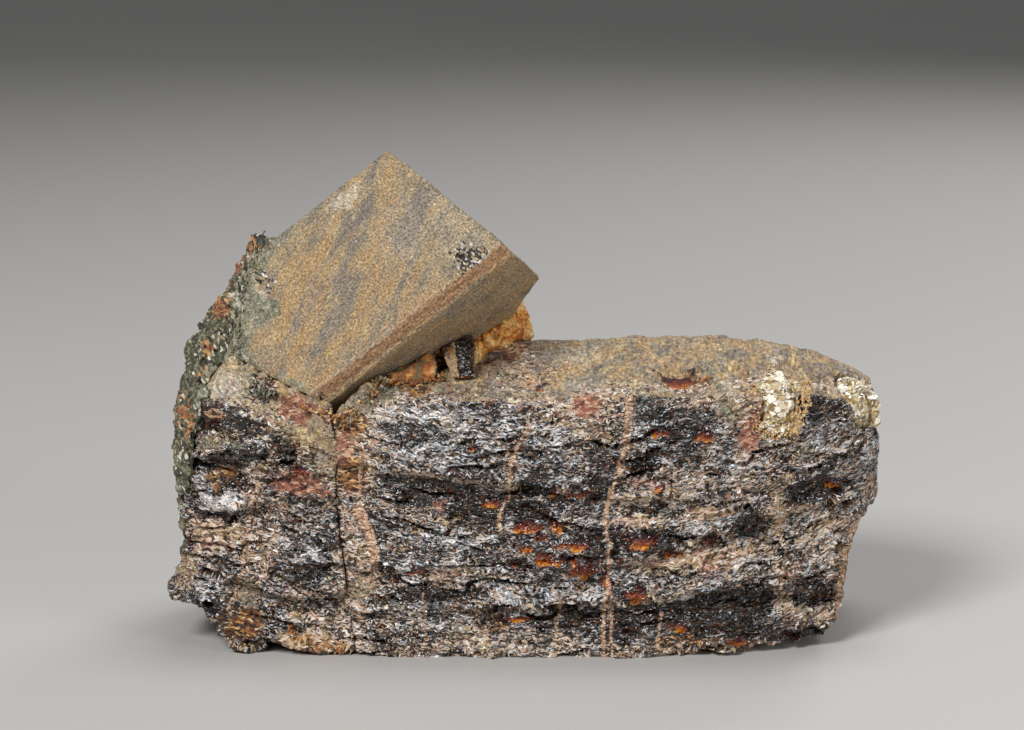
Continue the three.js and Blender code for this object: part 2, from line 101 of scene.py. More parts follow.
# Painted shade: patches where the break gets few painted glints.
UNLIT = [
    (-4.5, 15.9, 1.51, 1.68, -20, 1), (-11.3, 16.9, 1.41, 0.61, -8, 0.8), (2.1, 17.7, 0.91, 1.42, 0, 1),
    (1.5, 15.4, 2.11, 0.66, -6, 0.9), (8.9, 17.1, 1.31, 1.17, -30, 0.9), (8.3, 11.6, 0.91, 1.78, 0, 1),
    (10.7, 11.8, 0.96, 1.98, 0, 1), (-8.5, 6.4, 3.57, 0.81, -3, 0.8), (-1.7, 5, 0.91, 0.76, 0, 1),
    (3.1, 4.2, 1.36, 0.76, 0, 1), (7.1, 4.2, 2.21, 1.32, 2, 1.1), (13.4, 15.2, 2.4, 0.5, 8, 0.8),
    (24.2, 13.7, 1.96, 1.27, 14, 1.1), (22.3, 6, 4.33, 1.73, 4, 1), (16.8, 5, 2.01, 0.71, 0, 0.8),
    (30.6, 25.6, 2.16, 1.6, 0, 0.5), (30.6, 17.5, 3.27, 1.38, 8, 0.6), (30.4, 6.6, 2.51, 1.22, 0, 0.9),
    (30.4, 2, 2.72, 1.07, 0, 0.8), (20, 3.2, 7.04, 2.64, 0, 0.55), (-10, 23.1, 3.62, 0.86, -16, 0.6),
    (-5.7, 16.1, 5.53, 2.13, -14, 0.55), (-29.7, 24.9, 2.3, 1.4, -5, 1.5), (-26.6, 23.9, 3, 1, -26, 0.8),
    (-26.2, 21.2, 3.4, 0.5, -8, 0.6), (-28.7, 20.1, 2.2, 0.8, -6, 1.1), (-27.5, 18.1, 1.4, 0.7, -25, 0.9),
    (-29.8, 14.7, 2.2, 0.5, -3, 0.8), (-21.4, 5.4, 3, 0.6, 8, 0.5), (-17.5, 12.7, 0.5, 1.7, 0, 0.5),
    (12.8, 20.1, 1.8, 1, 0, 0.7), (-32, 12.3, 0.96, 0.81, 0, 0.8), (-32, 5.1, 2.72, 0.71, 0, 1),
    (-26.8, 6.3, 2.01, 1.78, 0, 0.5), (-22.5, 21.4, 1.21, 1.42, 0, 0.9), (-20, 21.4, 0.55, 1.22, 0, 0.9),
    (-21.5, 8.9, 3.02, 0.86, 0, 0.7), (11.2, 4, 1.76, 3.66, 0, 0.5), (18, 23.4, 2.01, 3.56, -25, 0.4),
    (13.8, 25.4, 2.21, 1.52, 0, 0.25), (-25, 27.5, 1.7, 1.6, -50, 0.6), (-27.8, 2.8, 2.2, 1.1, -20, 0.6),
    (15.4, 12.1, 2.51, 1.22, 6, 0.7), (27.4, 11.8, 1.51, 1.32, 0, 0.3),
]
AMBER = [
    (1.4, 13.6, 1.36, 0.71, -4), (4.5, 13.7, 0.5, 0.81, 0), (6.1, 11.6, 1.56, 0.51, 3),
    (1.4, 11.4, 0.6, 0.41, 0), (3.3, 10.4, 0.86, 0.76, 20), (-2.1, 16, 0.75, 0.46, 0),
    (4.3, 17, 0.55, 0.51, 0), (6.6, 16.9, 1.01, 0.56, 5), (7.4, 9.1, 1.36, 0.81, 14),
    (0.8, 9.6, 0.8, 0.36, 0), (0.7, 4.1, 1.11, 0.36, 0), (13, 12, 1.36, 0.66, 4),
    (16.1, 10.7, 0.7, 0.51, 10), (19.8, 12, 0.6, 0.46, 0), (12.6, 6.5, 0.91, 0.86, 8),
    (16.9, 3.2, 0.6, 0.56, 0), (23.1, 1.7, 0.96, 0.66, 0), (14.6, 17.7, 0.4, 0.51, 0),
    (19.3, 22.9, 1.11, 0.61, -5), (14.7, 23.1, 0.91, 0.51, 0), (16.5, 28.8, 1.6, 0.7, -5),
    (3, 12.4, 0.7, 0.5, 0), (5.2, 9.9, 1, 0.5, 15), (9.6, 8.5, 0.35, 1.52, 0), (-10.2, 8.9, 0.91, 0.36, 4),
    (32.2, 18.1, 0.7, 0.41, 0), (-21.1, 19.3, 0.5, 0.46, 0), (-7, 30.9, 0.6, 0.51, 0),
    (-3.9, 21.5, 0.35, 0.3, 0), (2.8, 27.6, 0.45, 0.36, 0),
]

# Clay dust, rose-pink stain and rust.
DUSTED = [
    (12.1, 14.1, 3.4, 0.6, 2, 1.1), (20.1, 14.9, 2.4, 0.6, 5, 1.2), (18.9, 10.3, 6.2, 1.1, 8, 0.9),
    (32.1, 13.9, 2.41, 0.97, 10, 0.8), (-21.4, 5.9, 3.8, 1.8, 0, 0.35), (-19.9, 4.2, 3.2, 0.9, 0, 0.7),
    (22.9, 17.5, 2.6, 2, 0, 0.35), (30.5, 11.6, 3.4, 2.2, 0, 0.6), (29, 14, 9, 15, 0, 0.16),
    (27.6, 9.2, 1.61, 1.52, 0, 0.6), (27.5, 5.1, 1.01, 1.17, 0, 0.9), (31.3, 4.7, 1.86, 0.81, 0, 0.8),
    (-7, 8.1, 1.86, 1.07, 0, 0.7), (-3.7, 2, 1.71, 2.03, 0, 0.6), (-14.9, 7.1, 1.61, 1.73, 0, 0.8),
    (23.6, 25.6, 1.66, 1.63, -30, 0.8), (-25.4, 10.7, 1.31, 1.98, 0, 0.8), (-32.7, 8.9, 1.11, 1.93, 0, 0.9),
    (-31.5, 12, 2, 3, 0, 0.5), (34, 11, 2, 5, 5, 0.35), (-18.6, 5, 2.6, 2.4, 0, 0.5),
    (-30, 12.7, 2.8, 1.8, 0, 1.5), (14.2, 16.5, 4.6, 0.9, 3, 0.9), (25, 17, 9, 12, 0, 0.08),
    (-28, 11, 2.8, 4.7, 0, 0.3), (-20.5, 1.6, 3.6, 1.2, 0, 1), (-9, 4.5, 6, 3, 0, 0.12),
    (-8, 14.6, 5, 0.9, -6, 0.35), (-19.6, 22, 2.4, 3.2, 0, 0.8), (-25.8, 18.5, 1.2, 2.2, -20, 0.7),
    (31, 12, 3.5, 2.2, 10, 0.4), (-24.2, 13.5, 1.3, 3.5, -15, 0.6), (-0.2, 1.4, 13.08, 1.22, 0, 0.25),
    (23.3, 1.1, 10.36, 0.71, 0, 0.4), (-16, 20.7, 2.21, 4.37, 0, 0.9), (-16, 9, 1.86, 7.11, 0, 0.6),
    (-26.8, 6.2, 2.01, 1.93, 0, 0.7), (8.2, 24.5, 3.42, 2.13, -8, 0.55), (4.8, 25, 1.51, 1.63, -60, 0.6),
    (20.2, 27.7, 1.51, 3.3, -60, 0.6), (-22.4, 22.9, 4.28, 3.56, 0, 0.4), (-29.8, 21.9, 1.56, 1.07, 0, 0.6),
    (33.7, 12.7, 1.26, 2.54, 0, 0.3), (-28.1, 10.7, 2.77, 4.67, 0, 0.35), (21.5, 7.8, 3.52, 1.78, 0, 0.3),
    (26.4, 15.2, 1.51, 5.08, -10, 0.5), (16.8, 17.8, 4.02, 1.52, 0, 0.35),
]
ROSE = [
    (23.8, 23.2, 1.1, 2.6, -8), (-21.4, 17.9, 3, 1.4, -8), (-21.7, 25.7, 2, 1.5, -20),
    (-16.6, 21, 1, 1.8, 0), (7.4, 26, 1.61, 1.27, 0), (-16.5, 23.9, 1.11, 1.32, 0),
    (19.7, 9.5, 0.8, 0.61, 0), (14.2, 18.1, 1.41, 0.41, 0), (-7.6, 15.6, 1.01, 0.61, 0),
]
RUSTY = [
    (19, 28.3, 0.8, 0.66, 0), (17, 29.2, 1.9, 0.8, 0), (-16.3, 24.4, 1.9, 1.4, 0),
    (-16, 18.9, 1.41, 2.24, 0), (-28.2, 3, 1.3, 0.8, -20), (-27.3, 4.4, 1.3, 0.4, -25),
    (-27.8, 2, 1.4, 0.3, 0), (-28.6, 19.2, 1.7, 0.8, 5), (-26.8, 3.6, 1.8, 1.5, -15),
    (-29.7, 18.2, 0.5, 0.9, 0), (-29.7, 25, 0.9, 0.3, 0), (36.2, 15.4, 0.9, 0.6, 35),
    (35, 13.5, 0.5, 0.9, 25), (34.2, 10.5, 0.4, 2.2, 6), (33.3, 7.5, 0.4, 1.4, 12),
    (33.2, 4.7, 0.5, 1.2, 0), (18, 1.8, 3, 0.35, 0), (23, 1.8, 1.2, 0.6, 0), (16.2, 3.2, 0.6, 0.7, 0),
    (12.9, 12.1, 0.7, 0.4, 0), (-1.2, 3.3, 1.3, 0.4, 0), (-19.5, 0.9, 2.6, 0.5, 0),
    (-26.1, 41.8, 1.36, 1.02, 0), (-27.3, 39.8, 0.8, 2, -30), (-28.7, 35.9, 0.9, 1.3, -20),
    (-29.9, 31.3, 0.5, 0.76, 0), (-30.6, 29, 0.45, 0.76, 0), (-32.4, 24.9, 0.65, 1.47, 0),
    (-9.3, 28.4, 1.51, 1.83, -35), (-0.9, 32.7, 2.82, 2.34, 0),
]

# Veins: half their width, then their route.
VEINS = [
    (0.14, [(1.5, 24.6), (1.4, 23.1), (0.4, 21.4), (-0.1, 19.5), (-0.1, 17.4), (-0.7, 15.9), (-1.4, 14),
            (-1.1, 12.6)]),
    (0.2, [(11.7, 26.7), (11.5, 23.8), (11.2, 21.4), (10.6, 18.7), (9.7, 16.2), (9.3, 14), (9.8, 11.9),
            (9.7, 7.7), (9.3, 5.5), (9.2, 0)]),
    (0.1, [(12, 26.7), (11.9, 23.4), (11.6, 20.9), (10.8, 18.5)]),
    (0.14, [(9.8, 7.5), (10.1, 5.5), (10, 0)]),
    (0.13, [(4.1, 7.1), (5, 5.2), (4.5, 4.1), (4.4, 1.7), (4.8, 0.4)]),
    (0.17, [(15, 4.5), (14.7, 1), (16.5, 0.6), (18.7, 0.7)]),
    (0.09, [(-8.9, 6.6), (-8.7, 0)]),
    (0.13, [(-15.3, 20.5), (-15.3, 17.6), (-15.5, 15.8)]),
    (0.5, [(-15.5, 15.4), (-14.9, 14), (-14.2, 12.6), (-13.9, 10.9), (-13.9, 9.6)]),
    (0.2, [(-13.9, 9.6), (-14, 7.6)]),
    (0.11, [(25.6, 20.3), (25.7, 18.3), (25.9, 16.8), (26.3, 15), (26.8, 13.2), (27.5, 10.1), (27.2, 7)]),
    (0.1, [(3.4, 26.9), (5.1, 24.6), (6.3, 23.4)]),
    (0.13, [(-24, 21.5), (-24.5, 19.6), (-25.6, 17.6), (-26.1, 16.2), (-26.8, 12.5), (-27, 10.4),
            (-27.1, 8.9), (-28.7, 4.9)]),
    (0.09, [(-30.4, 25.2), (-29.9, 25.5), (-29.2, 25.4), (-28.7, 25), (-29.3, 24.7), (-30.1, 24.8),
            (-30.4, 25.2)]),
    (0.08, [(-23.6, 21.2), (-24.1, 19.4), (-25.1, 17.3), (-25.5, 15.9), (-26.2, 12.8), (-26.6, 10.4),
            (-26.5, 8.6)]),
    (0.12, [(9.5, 14), (12.9, 14.2), (15.7, 14.4)]),
    (0.08, [(-1.2, 22.4), (-0.5, 21.2), (0.8, 19.3)]),
    (0.1, [(12.9, 9.2), (17.9, 9.9), (22.9, 10.9), (25.9, 11.6)]),
    (0.25, [(36.6, 16.4), (35.2, 14.6), (34.2, 13.2), (33.7, 10.5), (33.1, 8.3), (32.8, 6.5), (33, 5),
            (32.9, 3.5), (32.1, 2.3)]),
]

# Scraps of old skin, green films, dents in the top edge, places worn through the skin, and chalk.
OLD = [
    (-29, 21.9, 3.2, 0.6, -10, 0.55), (-21, 23.6, 2.4, 2, 0, 0.7), (-18.4, 21.2, 2, 3, 0, 0.6),
    (-16.6, 22.4, 1.3, 4.5, 0, 0.6), (-26.5, 6.5, 1.4, 2.1, 15, 0.55), (-32.7, 8.8, 0.8, 1.9, 0, 0.5),
    (26.4, 14.2, 0.9, 4, -8, 0.5), (22.3, 24.9, 2, 3, 0, 0.4), (15.1, 28.4, 1.01, 1.02, 0, 1),
    (19.9, 29, 1.9, 0.6, -63, 0.8), (21.6, 25.6, 1.9, 0.5, -63, 0.8), (-14.9, 7.1, 1.46, 1.73, 0, 0.5),
    (-23.1, 23.7, 1.91, 1.27, 0, 0.4), (-19, 20.3, 2.26, 2.03, 0, 0.4),
]
MOSS = [
    (-29, 21.9, 3.2, 0.8, -10, 0.9), (19.9, 29, 2, 0.55, -63, 0.8), (21.6, 25.6, 2, 0.5, -63, 0.8),
    (-14.8, 7.2, 1.31, 1.63, 0, 0.6), (-12.4, 27.3, 1.01, 2.03, 0, 1), (-11.6, 28.6, 1.21, 1.12, 0, 0.8),
    (-16.4, 25.4, 0.8, 1.02, 0, 0.5), (-24.9, 25, 1.26, 0.61, 0, 0.5), (-30.6, 27.5, 0.96, 1.02, 0, 0.3),
    (-18.1, 25.2, 1.46, 1.27, 0, 0.5), (-17, 18.3, 0.75, 2.03, 0, 0.5), (15.1, 28.4, 1.01, 1.02, 0, 0.4),
    (-7.3, 27.2, 3.12, 0.76, 0, 0.5),
]
DENTS = [
    (17, 28.9, 2, 1.1, -5, 0.8), (27.6, 30.2, 0.9, 0.6, 0, 0.9), (7.2, 29.4, 1.5, 0.6, 0, 0.3),
    (22.5, 29.4, 1.6, 0.5, -20, 0.5),
]
WORN = [
    (0.6, 29.6, 4.83, 2.95, 0, 0.5), (-25, 27.5, 1.7, 1.6, -50, 1), (9.1, 27.9, 3.72, 1.42, 0, 0.4),
    (-11.2, 27.2, 7.04, 0.91, 0, 0.3), (16.8, 28, 4.02, 0.71, 0, 0.4), (25.5, 28.6, 3.27, 1.37, 0, 0.5),
    (31.2, 28.3, 2.51, 1.02, 0, 0.4),
]
CHALKY = [
    (-28.6, 27.9, 1.9, 1.6, 40, 0.6), (21.7, 27.9, 0.75, 0.81, 0, 1), (26.3, 30.4, 0.8, 0.71, 0, 0.8),
    (6.8, 31, 2, 1, 0, 0.5), (8.5, 27.9, 3.5, 0.8, 0, 0.4),
]

# Lower edges of the old skin on the two standing stones.
MAIN_SKIN = [
    (-15.4, 24.9), (-11.6, 26.6), (-6.2, 27.0), (4.8, 26.8), (8.8, 27.2), (14.8, 27.7), (18.7, 27.8),
    (20.4, 26.9), (22.2, 28.0), (28.7, 27.7), (33.7, 28.7), (36.7, 27.3),
]
LEFT_SKIN = [(-31.6, 26.4), (-27.3, 26.2), (-25.0, 25.0), (-22.0, 25.4), (-19.0, 25.6)]

# The contact between the two standing stones: height, x.
CRACK = [(0, -15.8), (6.2, -16.7), (12.3, -17.4), (18.8, -17.9), (20, -17.1), (22.4, -17.7), (27, -18.9)]

# The small wedge, by height: its left edge, and how wide its tan side is. Then its rusty spots, and pale
# spots on the green rind.
WEDGE_LEFT = [(27.5, -5.6), (32, -7.0)]
WEDGE_SIDE = [(27.5, 0.35), (32, 1.25)]
WEDGE_RUST = [(-6.6, 31.8, 0.8, 1.2, 0), (-5.4, 27.9, 0.5, 0.8, 0)]
RIND_PALE = [
    (-33.6, 15.9, 0.5, 1.2, 0), (-29.5, 28.6, 1.0, 2.2, -25), (-26.4, 36.6, 1.2, 2.4, -10),
    (-25.5, 39.5, 1.2, 1.0, 0), (-31, 26.5, 0.5, 1.5, -10),
]

# Spots on the leaning crystal, in its own frame: along its long edge, up its face, half sizes, turn, and
# how strong. The mossy foot is the line, as up the face and along, past which green film covers it.
LEAN_GREY = [
    (-4.6, 14.2, 2.0, 3.2, 30, 0.8), (-3.6, 8, 1.4, 3, 20, 0.6), (-15.5, 8, 1.2, 3, 0, 0.5),
    (-21, 9, 2, 3, 0, 0.4), (-10, 11, 1.2, 3, 25, 0.4),
]
LEAN_CHALKY = [
    (-10.2, 15.9, 1.8, 0.9, 0, 0.8), (-24.6, 13.4, 1.7, 2.8, 0, 0.9), (-2.5, 6, 3, 5, 0, 0.2),
    (-8, 9, 3, 3, 0, 0.2),
]
LEAN_CHIPS = [
    (-4.0, 1.9, 1.5, 2.0, 12, 0.62), (-22.0, 14.6, 0.8, 1.4, 0, 0.45), (-2.2, 0.2, 0.6, 0.4, 0, 0.5),
]
BEVEL_CHIPS = [(-24.6, 0.3, 0.8, 0.6, 0, 0.8)]
LEAN_MOSS = [
    (-24.6, 13.6, 1.5, 4.0, 0, 0.7), (-22, 16.6, 2.2, 1.6, 0, 0.6), (-23.3, 11.5, 1.0, 1.6, 0, 0.8),
    (-26.4, 2.6, 1.3, 1.4, 0, 0.7), (-18, 17.2, 3, 1.2, 0, 0.5),
]
MOSSY_FOOT = [(-2, -23.4), (0, -24.3), (5, -28), (9.5, -28.2), (11.6, -26.5), (15, -23.2), (18.5, -17.5)]
RIND_EDGE = [
    (-29.2, 8.6, 0), (-28.2, 11.2, 0), (-26.4, 13.2, 0), (-24.8, 15, 0), (-22, 16.8, 0), (-19.6, 18, -0.2),
]

# Round lumps that fill the corners between stones: x, y, z, radius. RIND_LUMPS are in the leaning frame.
MAIN_LUMPS = [
    (-16.6, 1.5, 24.7, 1.1), (-15.5, 2, 25.8, 1.1), (-14.4, 3.4, 26.7, 1.1), (-13.2, 6, 27.4, 1),
    (-11.8, 9.3, 27.8, 1), (-10.4, 12.4, 28.2, 0.9), (34.9, 2.6, 14.6, 1), (35.2, 5.5, 14.5, 1.1),
    (35.4, 8.5, 14.4, 1.1), (35.3, 11.5, 14.4, 1.1),
]
LEFT_LUMPS = [
    (-28.2, 6.3, 29.0, 0.75), (-26.7, 5.4, 28.25, 0.85), (-25.2, 4.7, 27.55, 0.9),
    (-23.6, 4.0, 26.75, 0.95), (-22, 3.2, 26.1, 1.0), (-20.5, 2.5, 25.5, 1.0), (-19, 2.1, 25.0, 0.85),
]
SEAT_LUMPS = [
    (-3.5, 13.1, 29.7, 1.0), (-2.6, 13.2, 30.2, 1.0), (-1.7, 13.3, 30.9, 1.0), (-0.8, 13.5, 31.5, 0.95),
    (0.1, 13.6, 32.2, 0.9), (0.9, 14.0, 32.7, 0.7), (-1.2, 15.2, 30.2, 1.1), (0.2, 15.5, 31.0, 1.0),
]
RIND_SEAM = [
    (-31.4, 3.6, 26.4, 0.8), (-31.8, 3.5, 25.3, 0.85), (-32.1, 3.5, 24.1, 0.85), (-32.4, 3.4, 22.9, 0.85),
    (-32.7, 3.4, 21.6, 0.85), (-32.9, 3.4, 20.2, 0.8), (-33.1, 3.4, 18.6, 0.8), (-33.3, 3.5, 17, 0.8),
]
RIND_LUMPS = [
    (-20.6, 18.2, -0.9, 1.1), (-22.3, 17.2, -0.8, 1.1), (-24, 16.2, -0.7, 1.15), (-25.7, 15, -0.7, 1.2),
    (-27.3, 13.6, -0.8, 1.2), (-28.6, 12.1, -0.9, 1.1), (-29.6, 10.6, -1.1, 0.9),
]

# Lines that crumbs are packed along: the leaning crystal's foot, the apron in front of it, the corner where
# three stones meet, the angle and its deep end, the front nest's rim, and the ragged teeth at the bottom.
FOOT = [
    (-28.6, 6.4, 29.4), (-26.8, 5.2, 28.4), (-24.4, 4.2, 27.4), (-22, 3.2, 26.5), (-20, 2.3, 25.8),
    (-18.4, 1.9, 24.9),
]
APRON = [
    (-26.5, 4.0, 27.3), (-25.0, 3.2, 26.6), (-23.4, 2.4, 26.0), (-21.3, 1.4, 25.6), (-19, 0.8, 25.0),
    (-17.3, 0.6, 24.4),
]
CORNER = [
    (-17.0, 0.4, 23.9), (-15.5, 0.6, 25.2), (-14.2, 1.6, 26.8), (-13, 4.4, 27.7), (-11.5, 9.2, 28.2),
    (-10, 13, 28.8),
]
ANGLE = [(-13.2, 4.4, 27.3), (-10.5, 4.4, 27.3), (-8.2, 4.8, 27.4), (-6.9, 6.2, 27.7)]
RECESS = [(-8.4, 8.6, 28.0), (-7.6, 9.6, 29.6), (-7.2, 11, 31.2)]
NEST_RIM = [
    (24.1, 1.5, 28), (24.2, 1.4, 24), (25.6, 1.3, 22.6), (28.4, 1.4, 23), (29.4, 1.5, 25.6),
    (29.4, 1.9, 28),
]
TEETH = [(-22.8, 1.2, 2.4), (-20.6, 0.9, 1.6), (-18.6, 0.9, 1.1), (-16.4, 0.8, 0.7)]
EDGE = [LEAN_CORNER + np.array(at) @ LEAN_AXES for at in RIND_EDGE]

# Heaps of crumbs: how many, spread, smallest, largest, low tone, high tone, thickness, line.
GREEN_HEAPS = [
    (110, 0.5, 0.12, 0.34, 0, 1, 0.4, FOOT[:4]), (80, 0.8, 0.12, 0.34, 0, 1, 0.35, APRON[:3]),
    (150, 0.8, 0.14, 0.4, 0, 1, 0.4, EDGE), (90, 0.9, 0.12, 0.34, 0, 1, 0.5, CORNER[:4]),
]
TAN_HEAPS = [
    (110, 0.5, 0.1, 0.26, 0.2, 0.95, 0.8, FOOT[2:]), (80, 0.6, 0.1, 0.26, 0.2, 0.95, 0.8, APRON[3:]),
    (120, 0.7, 0.1, 0.24, 0.1, 0.9, 0.8, CORNER[:3]), (220, 0.8, 0.1, 0.28, 0.0, 0.8, 0.8, CORNER[2:]),
    (200, 0.6, 0.1, 0.26, 0.0, 0.7, 0.8, ANGLE), (70, 0.7, 0.2, 0.5, 0.0, 0.6, 0.8, RECESS),
    (420, 0.7, 0.1, 0.26, 0.78, 1.0, 0.8, NEST_RIM),
]
TEETH_HEAPS = [(260, 0.6, 0.15, 0.5, 0.5, 1.0, 0.6, TEETH)]

# Studio lamps, in metres and watts: name, place from the stone, size, power.
LAMPS = [
    ("key", (-0.24, -0.44, 0.40), 0.20, 3.9), ("overhead", (0.06, 0.12, 0.50), 0.25, 0.9),
    ("fill", (0.45, -0.40, 0.16), 0.25, 1.15), ("rim", (0.25, 0.45, 0.30), 0.20, 0.8),
]


# ---------------------------------------------------------------- shapes

def even_copy(node, lumps=()):
    """A CAD solid as one closed skin of even faces, in drawing millimetres, with round lumps
    (x, y, z, radius) merged in where rock fills a corner."""
    skin = bmesh.new()
    skin.from_mesh(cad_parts[node].data)
    bmesh.ops.remove_doubles(skin, verts=skin.verts, dist=1e-6)
    bmesh.ops.transform(skin, matrix=TO_DRAWING, verts=skin.verts)
    for *centre, radius in lumps:
        ball = bmesh.ops.create_icosphere(skin, subdivisions=2, radius=radius)["verts"]
        bmesh.ops.translate(skin, verts=ball, vec=centre)
    mesh = bpy.data.meshes.new(node + "_even")
    skin.to_mesh(mesh)
    skin.free()
    piece = bpy.data.objects.new(node + "_even", mesh)
    bpy.context.collection.objects.link(piece)
    even = piece.modifiers.new("even", "REMESH")
    even.mode = "VOXEL"
    even.voxel_size = GRAINS[node]
    seen = piece.evaluated_get(bpy.context.evaluated_depsgraph_get())
    result = bmesh.new()
    result.from_mesh(seen.to_mesh())
    seen.to_mesh_clear()
    bpy.data.objects.remove(piece)
    return result


def refine(skin, cuts, chosen):
    """Cuts the faces that chosen(face) picks into cuts + 1 each way."""
    skin.normal_update()
    edges = {edge for face in skin.faces if chosen(face) for edge in face.edges}
    bmesh.ops.subdivide_edges(skin, edges=list(edges), cuts=cuts, use_grid_fill=True)
    wide = [face for face in skin.faces if len(face.verts) > 4]
    bmesh.ops.triangulate(skin, faces=wide)
    skin.normal_update()


def corners(skin):
    """Every corner's place, and the way the skin faces there."""
    skin.verts.ensure_lookup_table()
    places = np.array([v.co for v in skin.verts])
    facing = np.array([v.normal for v in skin.verts])
    return places, facing


def grain_of(places, size, seed=0.0, octaves=2):
    """Soft noise of about -1 to 1 with lumps of the given size, one size or one for each axis."""
    offset = Vector((seed * 7.31, seed * 3.17, seed * 5.77))
    return np.array([
        noise.fractal(Vector(p) + offset, 1.0, 2.0, octaves) for p in places / np.asarray(size, float)
    ])


def hackle(places, size, seed, lean=1.4):
    """Broken-stone relief, about -1 to 1: each cell of the pattern is one small tilted facet."""
    offset = Vector((seed * 4.1, seed * 9.3, seed * 6.7))
    relief = np.empty(len(places))
    for i, p in enumerate(places / np.asarray(size, float)):
        at = Vector(p) + offset
        centre = noise.voronoi(at)[1][0]
        tilt = noise.noise_vector(centre * 5.3)
        relief[i] = tilt.z + lean * (at - centre).dot(tilt)
    return relief


def face_on(places):
    """Where each point stands on the front drawing plane, seen from the eye."""
    ratio = EYE.y / (EYE.y - places[:, 1])
    return np.stack((places[:, 0] * ratio, EYE.z + (places[:, 2] - EYE.z) * ratio), axis=1)


def step(value, low, high):
    """0 up to low and 1 from high on, with a soft climb between them; low may be above high."""
    t = np.clip((value - low) / (high - low), 0, 1)
    return t * t * (3 - 2 * t)


def patches(spots, flat, soft=None):
    """How far inside the nearest spot each point is, in mm, below 0 outside; or, with soft, how
    strongly the spots cover it, from 0 to their strength."""
    reach = np.full(len(flat), FAR_OFF if soft is None else 0.0)
    for x, z, wide, high, turn, *strength in spots:
        c, s = math.cos(math.radians(turn)), math.sin(math.radians(turn))
        dx, dz = flat[:, 0] - x, flat[:, 1] - z
        out = np.hypot((dx * c + dz * s) / wide, (dz * c - dx * s) / high)
        if soft is None:
            reach = np.maximum(reach, (1 - out) * min(wide, high))
        else:
            reach = np.maximum(reach, step(-out, -1 - soft, -1 + soft) * (strength or [1])[0])
    return reach


def along(lines, flat):
    """How far inside the nearest vein each point is, in mm, below 0 outside."""
    reach = np.full(len(flat), FAR_OFF)
    for half, route in lines:
        for (x0, z0), (x1, z1) in zip(route, route[1:]):
            run = np.array((x1 - x0, z1 - z0))
            off = flat - (x0, z0)
            t = np.clip(off @ run / (run @ run), 0, 1)
            reach = np.maximum(reach, half - np.hypot(*(off - t[:, None] * run).T))
    return reach


def on_line(line, first):
    """Reads a line of points: its second coordinate where its first one is as given."""
    return np.interp(first, *zip(*line))


def finish_piece(name, skin, places, marks, material, stands_for):
    """Writes the moved points and their marks, and sets the piece in the CAD frame."""
    places[:, 2] = np.maximum(places[:, 2], 0)
    for vert, place in zip(skin.verts, places):
        vert.co = place
    bmesh.ops.transform(skin, matrix=FROM_DRAWING, verts=skin.verts)
    mesh = bpy.data.meshes.new(name)
    skin.to_mesh(mesh)
    skin.free()
    for mark, values in marks.items():
        kind, field = ("FLOAT_VECTOR", "vector") if values.ndim == 2 else ("FLOAT", "value")
        layer = mesh.attributes.new(mark, kind, "POINT")
        layer.data.foreach_set(field, np.ascontiguousarray(values, np.float32).ravel())
    mesh.shade_flat()
    piece = bpy.data.objects.new(name, mesh)
    bpy.context.collection.objects.link(piece)
    mesh.materials.append(material)
    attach(piece, "root")
    if stands_for:
        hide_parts(*stands_for)


# ---------------------------------------------------------------- finishes

# Settings that many nodes share: colours laid over each other or multiplied, and sums.
LAYER = {"data_type": "RGBA"}
TINT = {"data_type": "RGBA", "blend_type": "MULTIPLY"}
SUM, LESS, TIMES, TIMES_PLUS, MOST = (
    {"operation": kind} for kind in ("ADD", "SUBTRACT", "MULTIPLY", "MULTIPLY_ADD", "MAXIMUM")
)


def hexed(code):
    """An sRGB hex colour as the linear colour that a shader takes."""
    parts = [(code >> shift & 255) / 255 for shift in (16, 8, 0)]
    return tuple(c / 12.92 if c <= 0.04045 else ((c + 0.055) / 1.055) ** 2.4 for c in parts) + (1,)


def add(tree, kind, out=0, settings=None, stops=(), **sockets):
    """Adds a node with its settings, a ramp's stops, and its sockets linked or set, and gives back one
    of its outputs. Socket names are written with _ for a space, and s6 means socket number 6."""
    node = tree.nodes.new("ShaderNode" + kind)
    for name, value in (settings or {}).items():
        setattr(node, name, value)
    for position, _ in stops[1:-1]:
        node.color_ramp.elements.new(position)
    for i, (position, code) in enumerate(stops):
        element = node.color_ramp.elements[i]
        element.position, element.color = position, hexed(code)
    for name, value in sockets.items():
        by_number = name[0] == "s" and name[1:].isdigit()
        socket = node.inputs[int(name[1:]) if by_number else name.replace("_", " ")]
        if isinstance(value, bpy.types.NodeSocket):
            tree.links.new(value, socket)
        else:
            socket.default_value = value
    return node if out is None else node.outputs[out]


def new_finish(name):
    """A new material with an empty node tree."""
    material = bpy.data.materials.new(name)
    material.use_nodes = True
    material.node_tree.nodes.clear()
    return material, material.node_tree


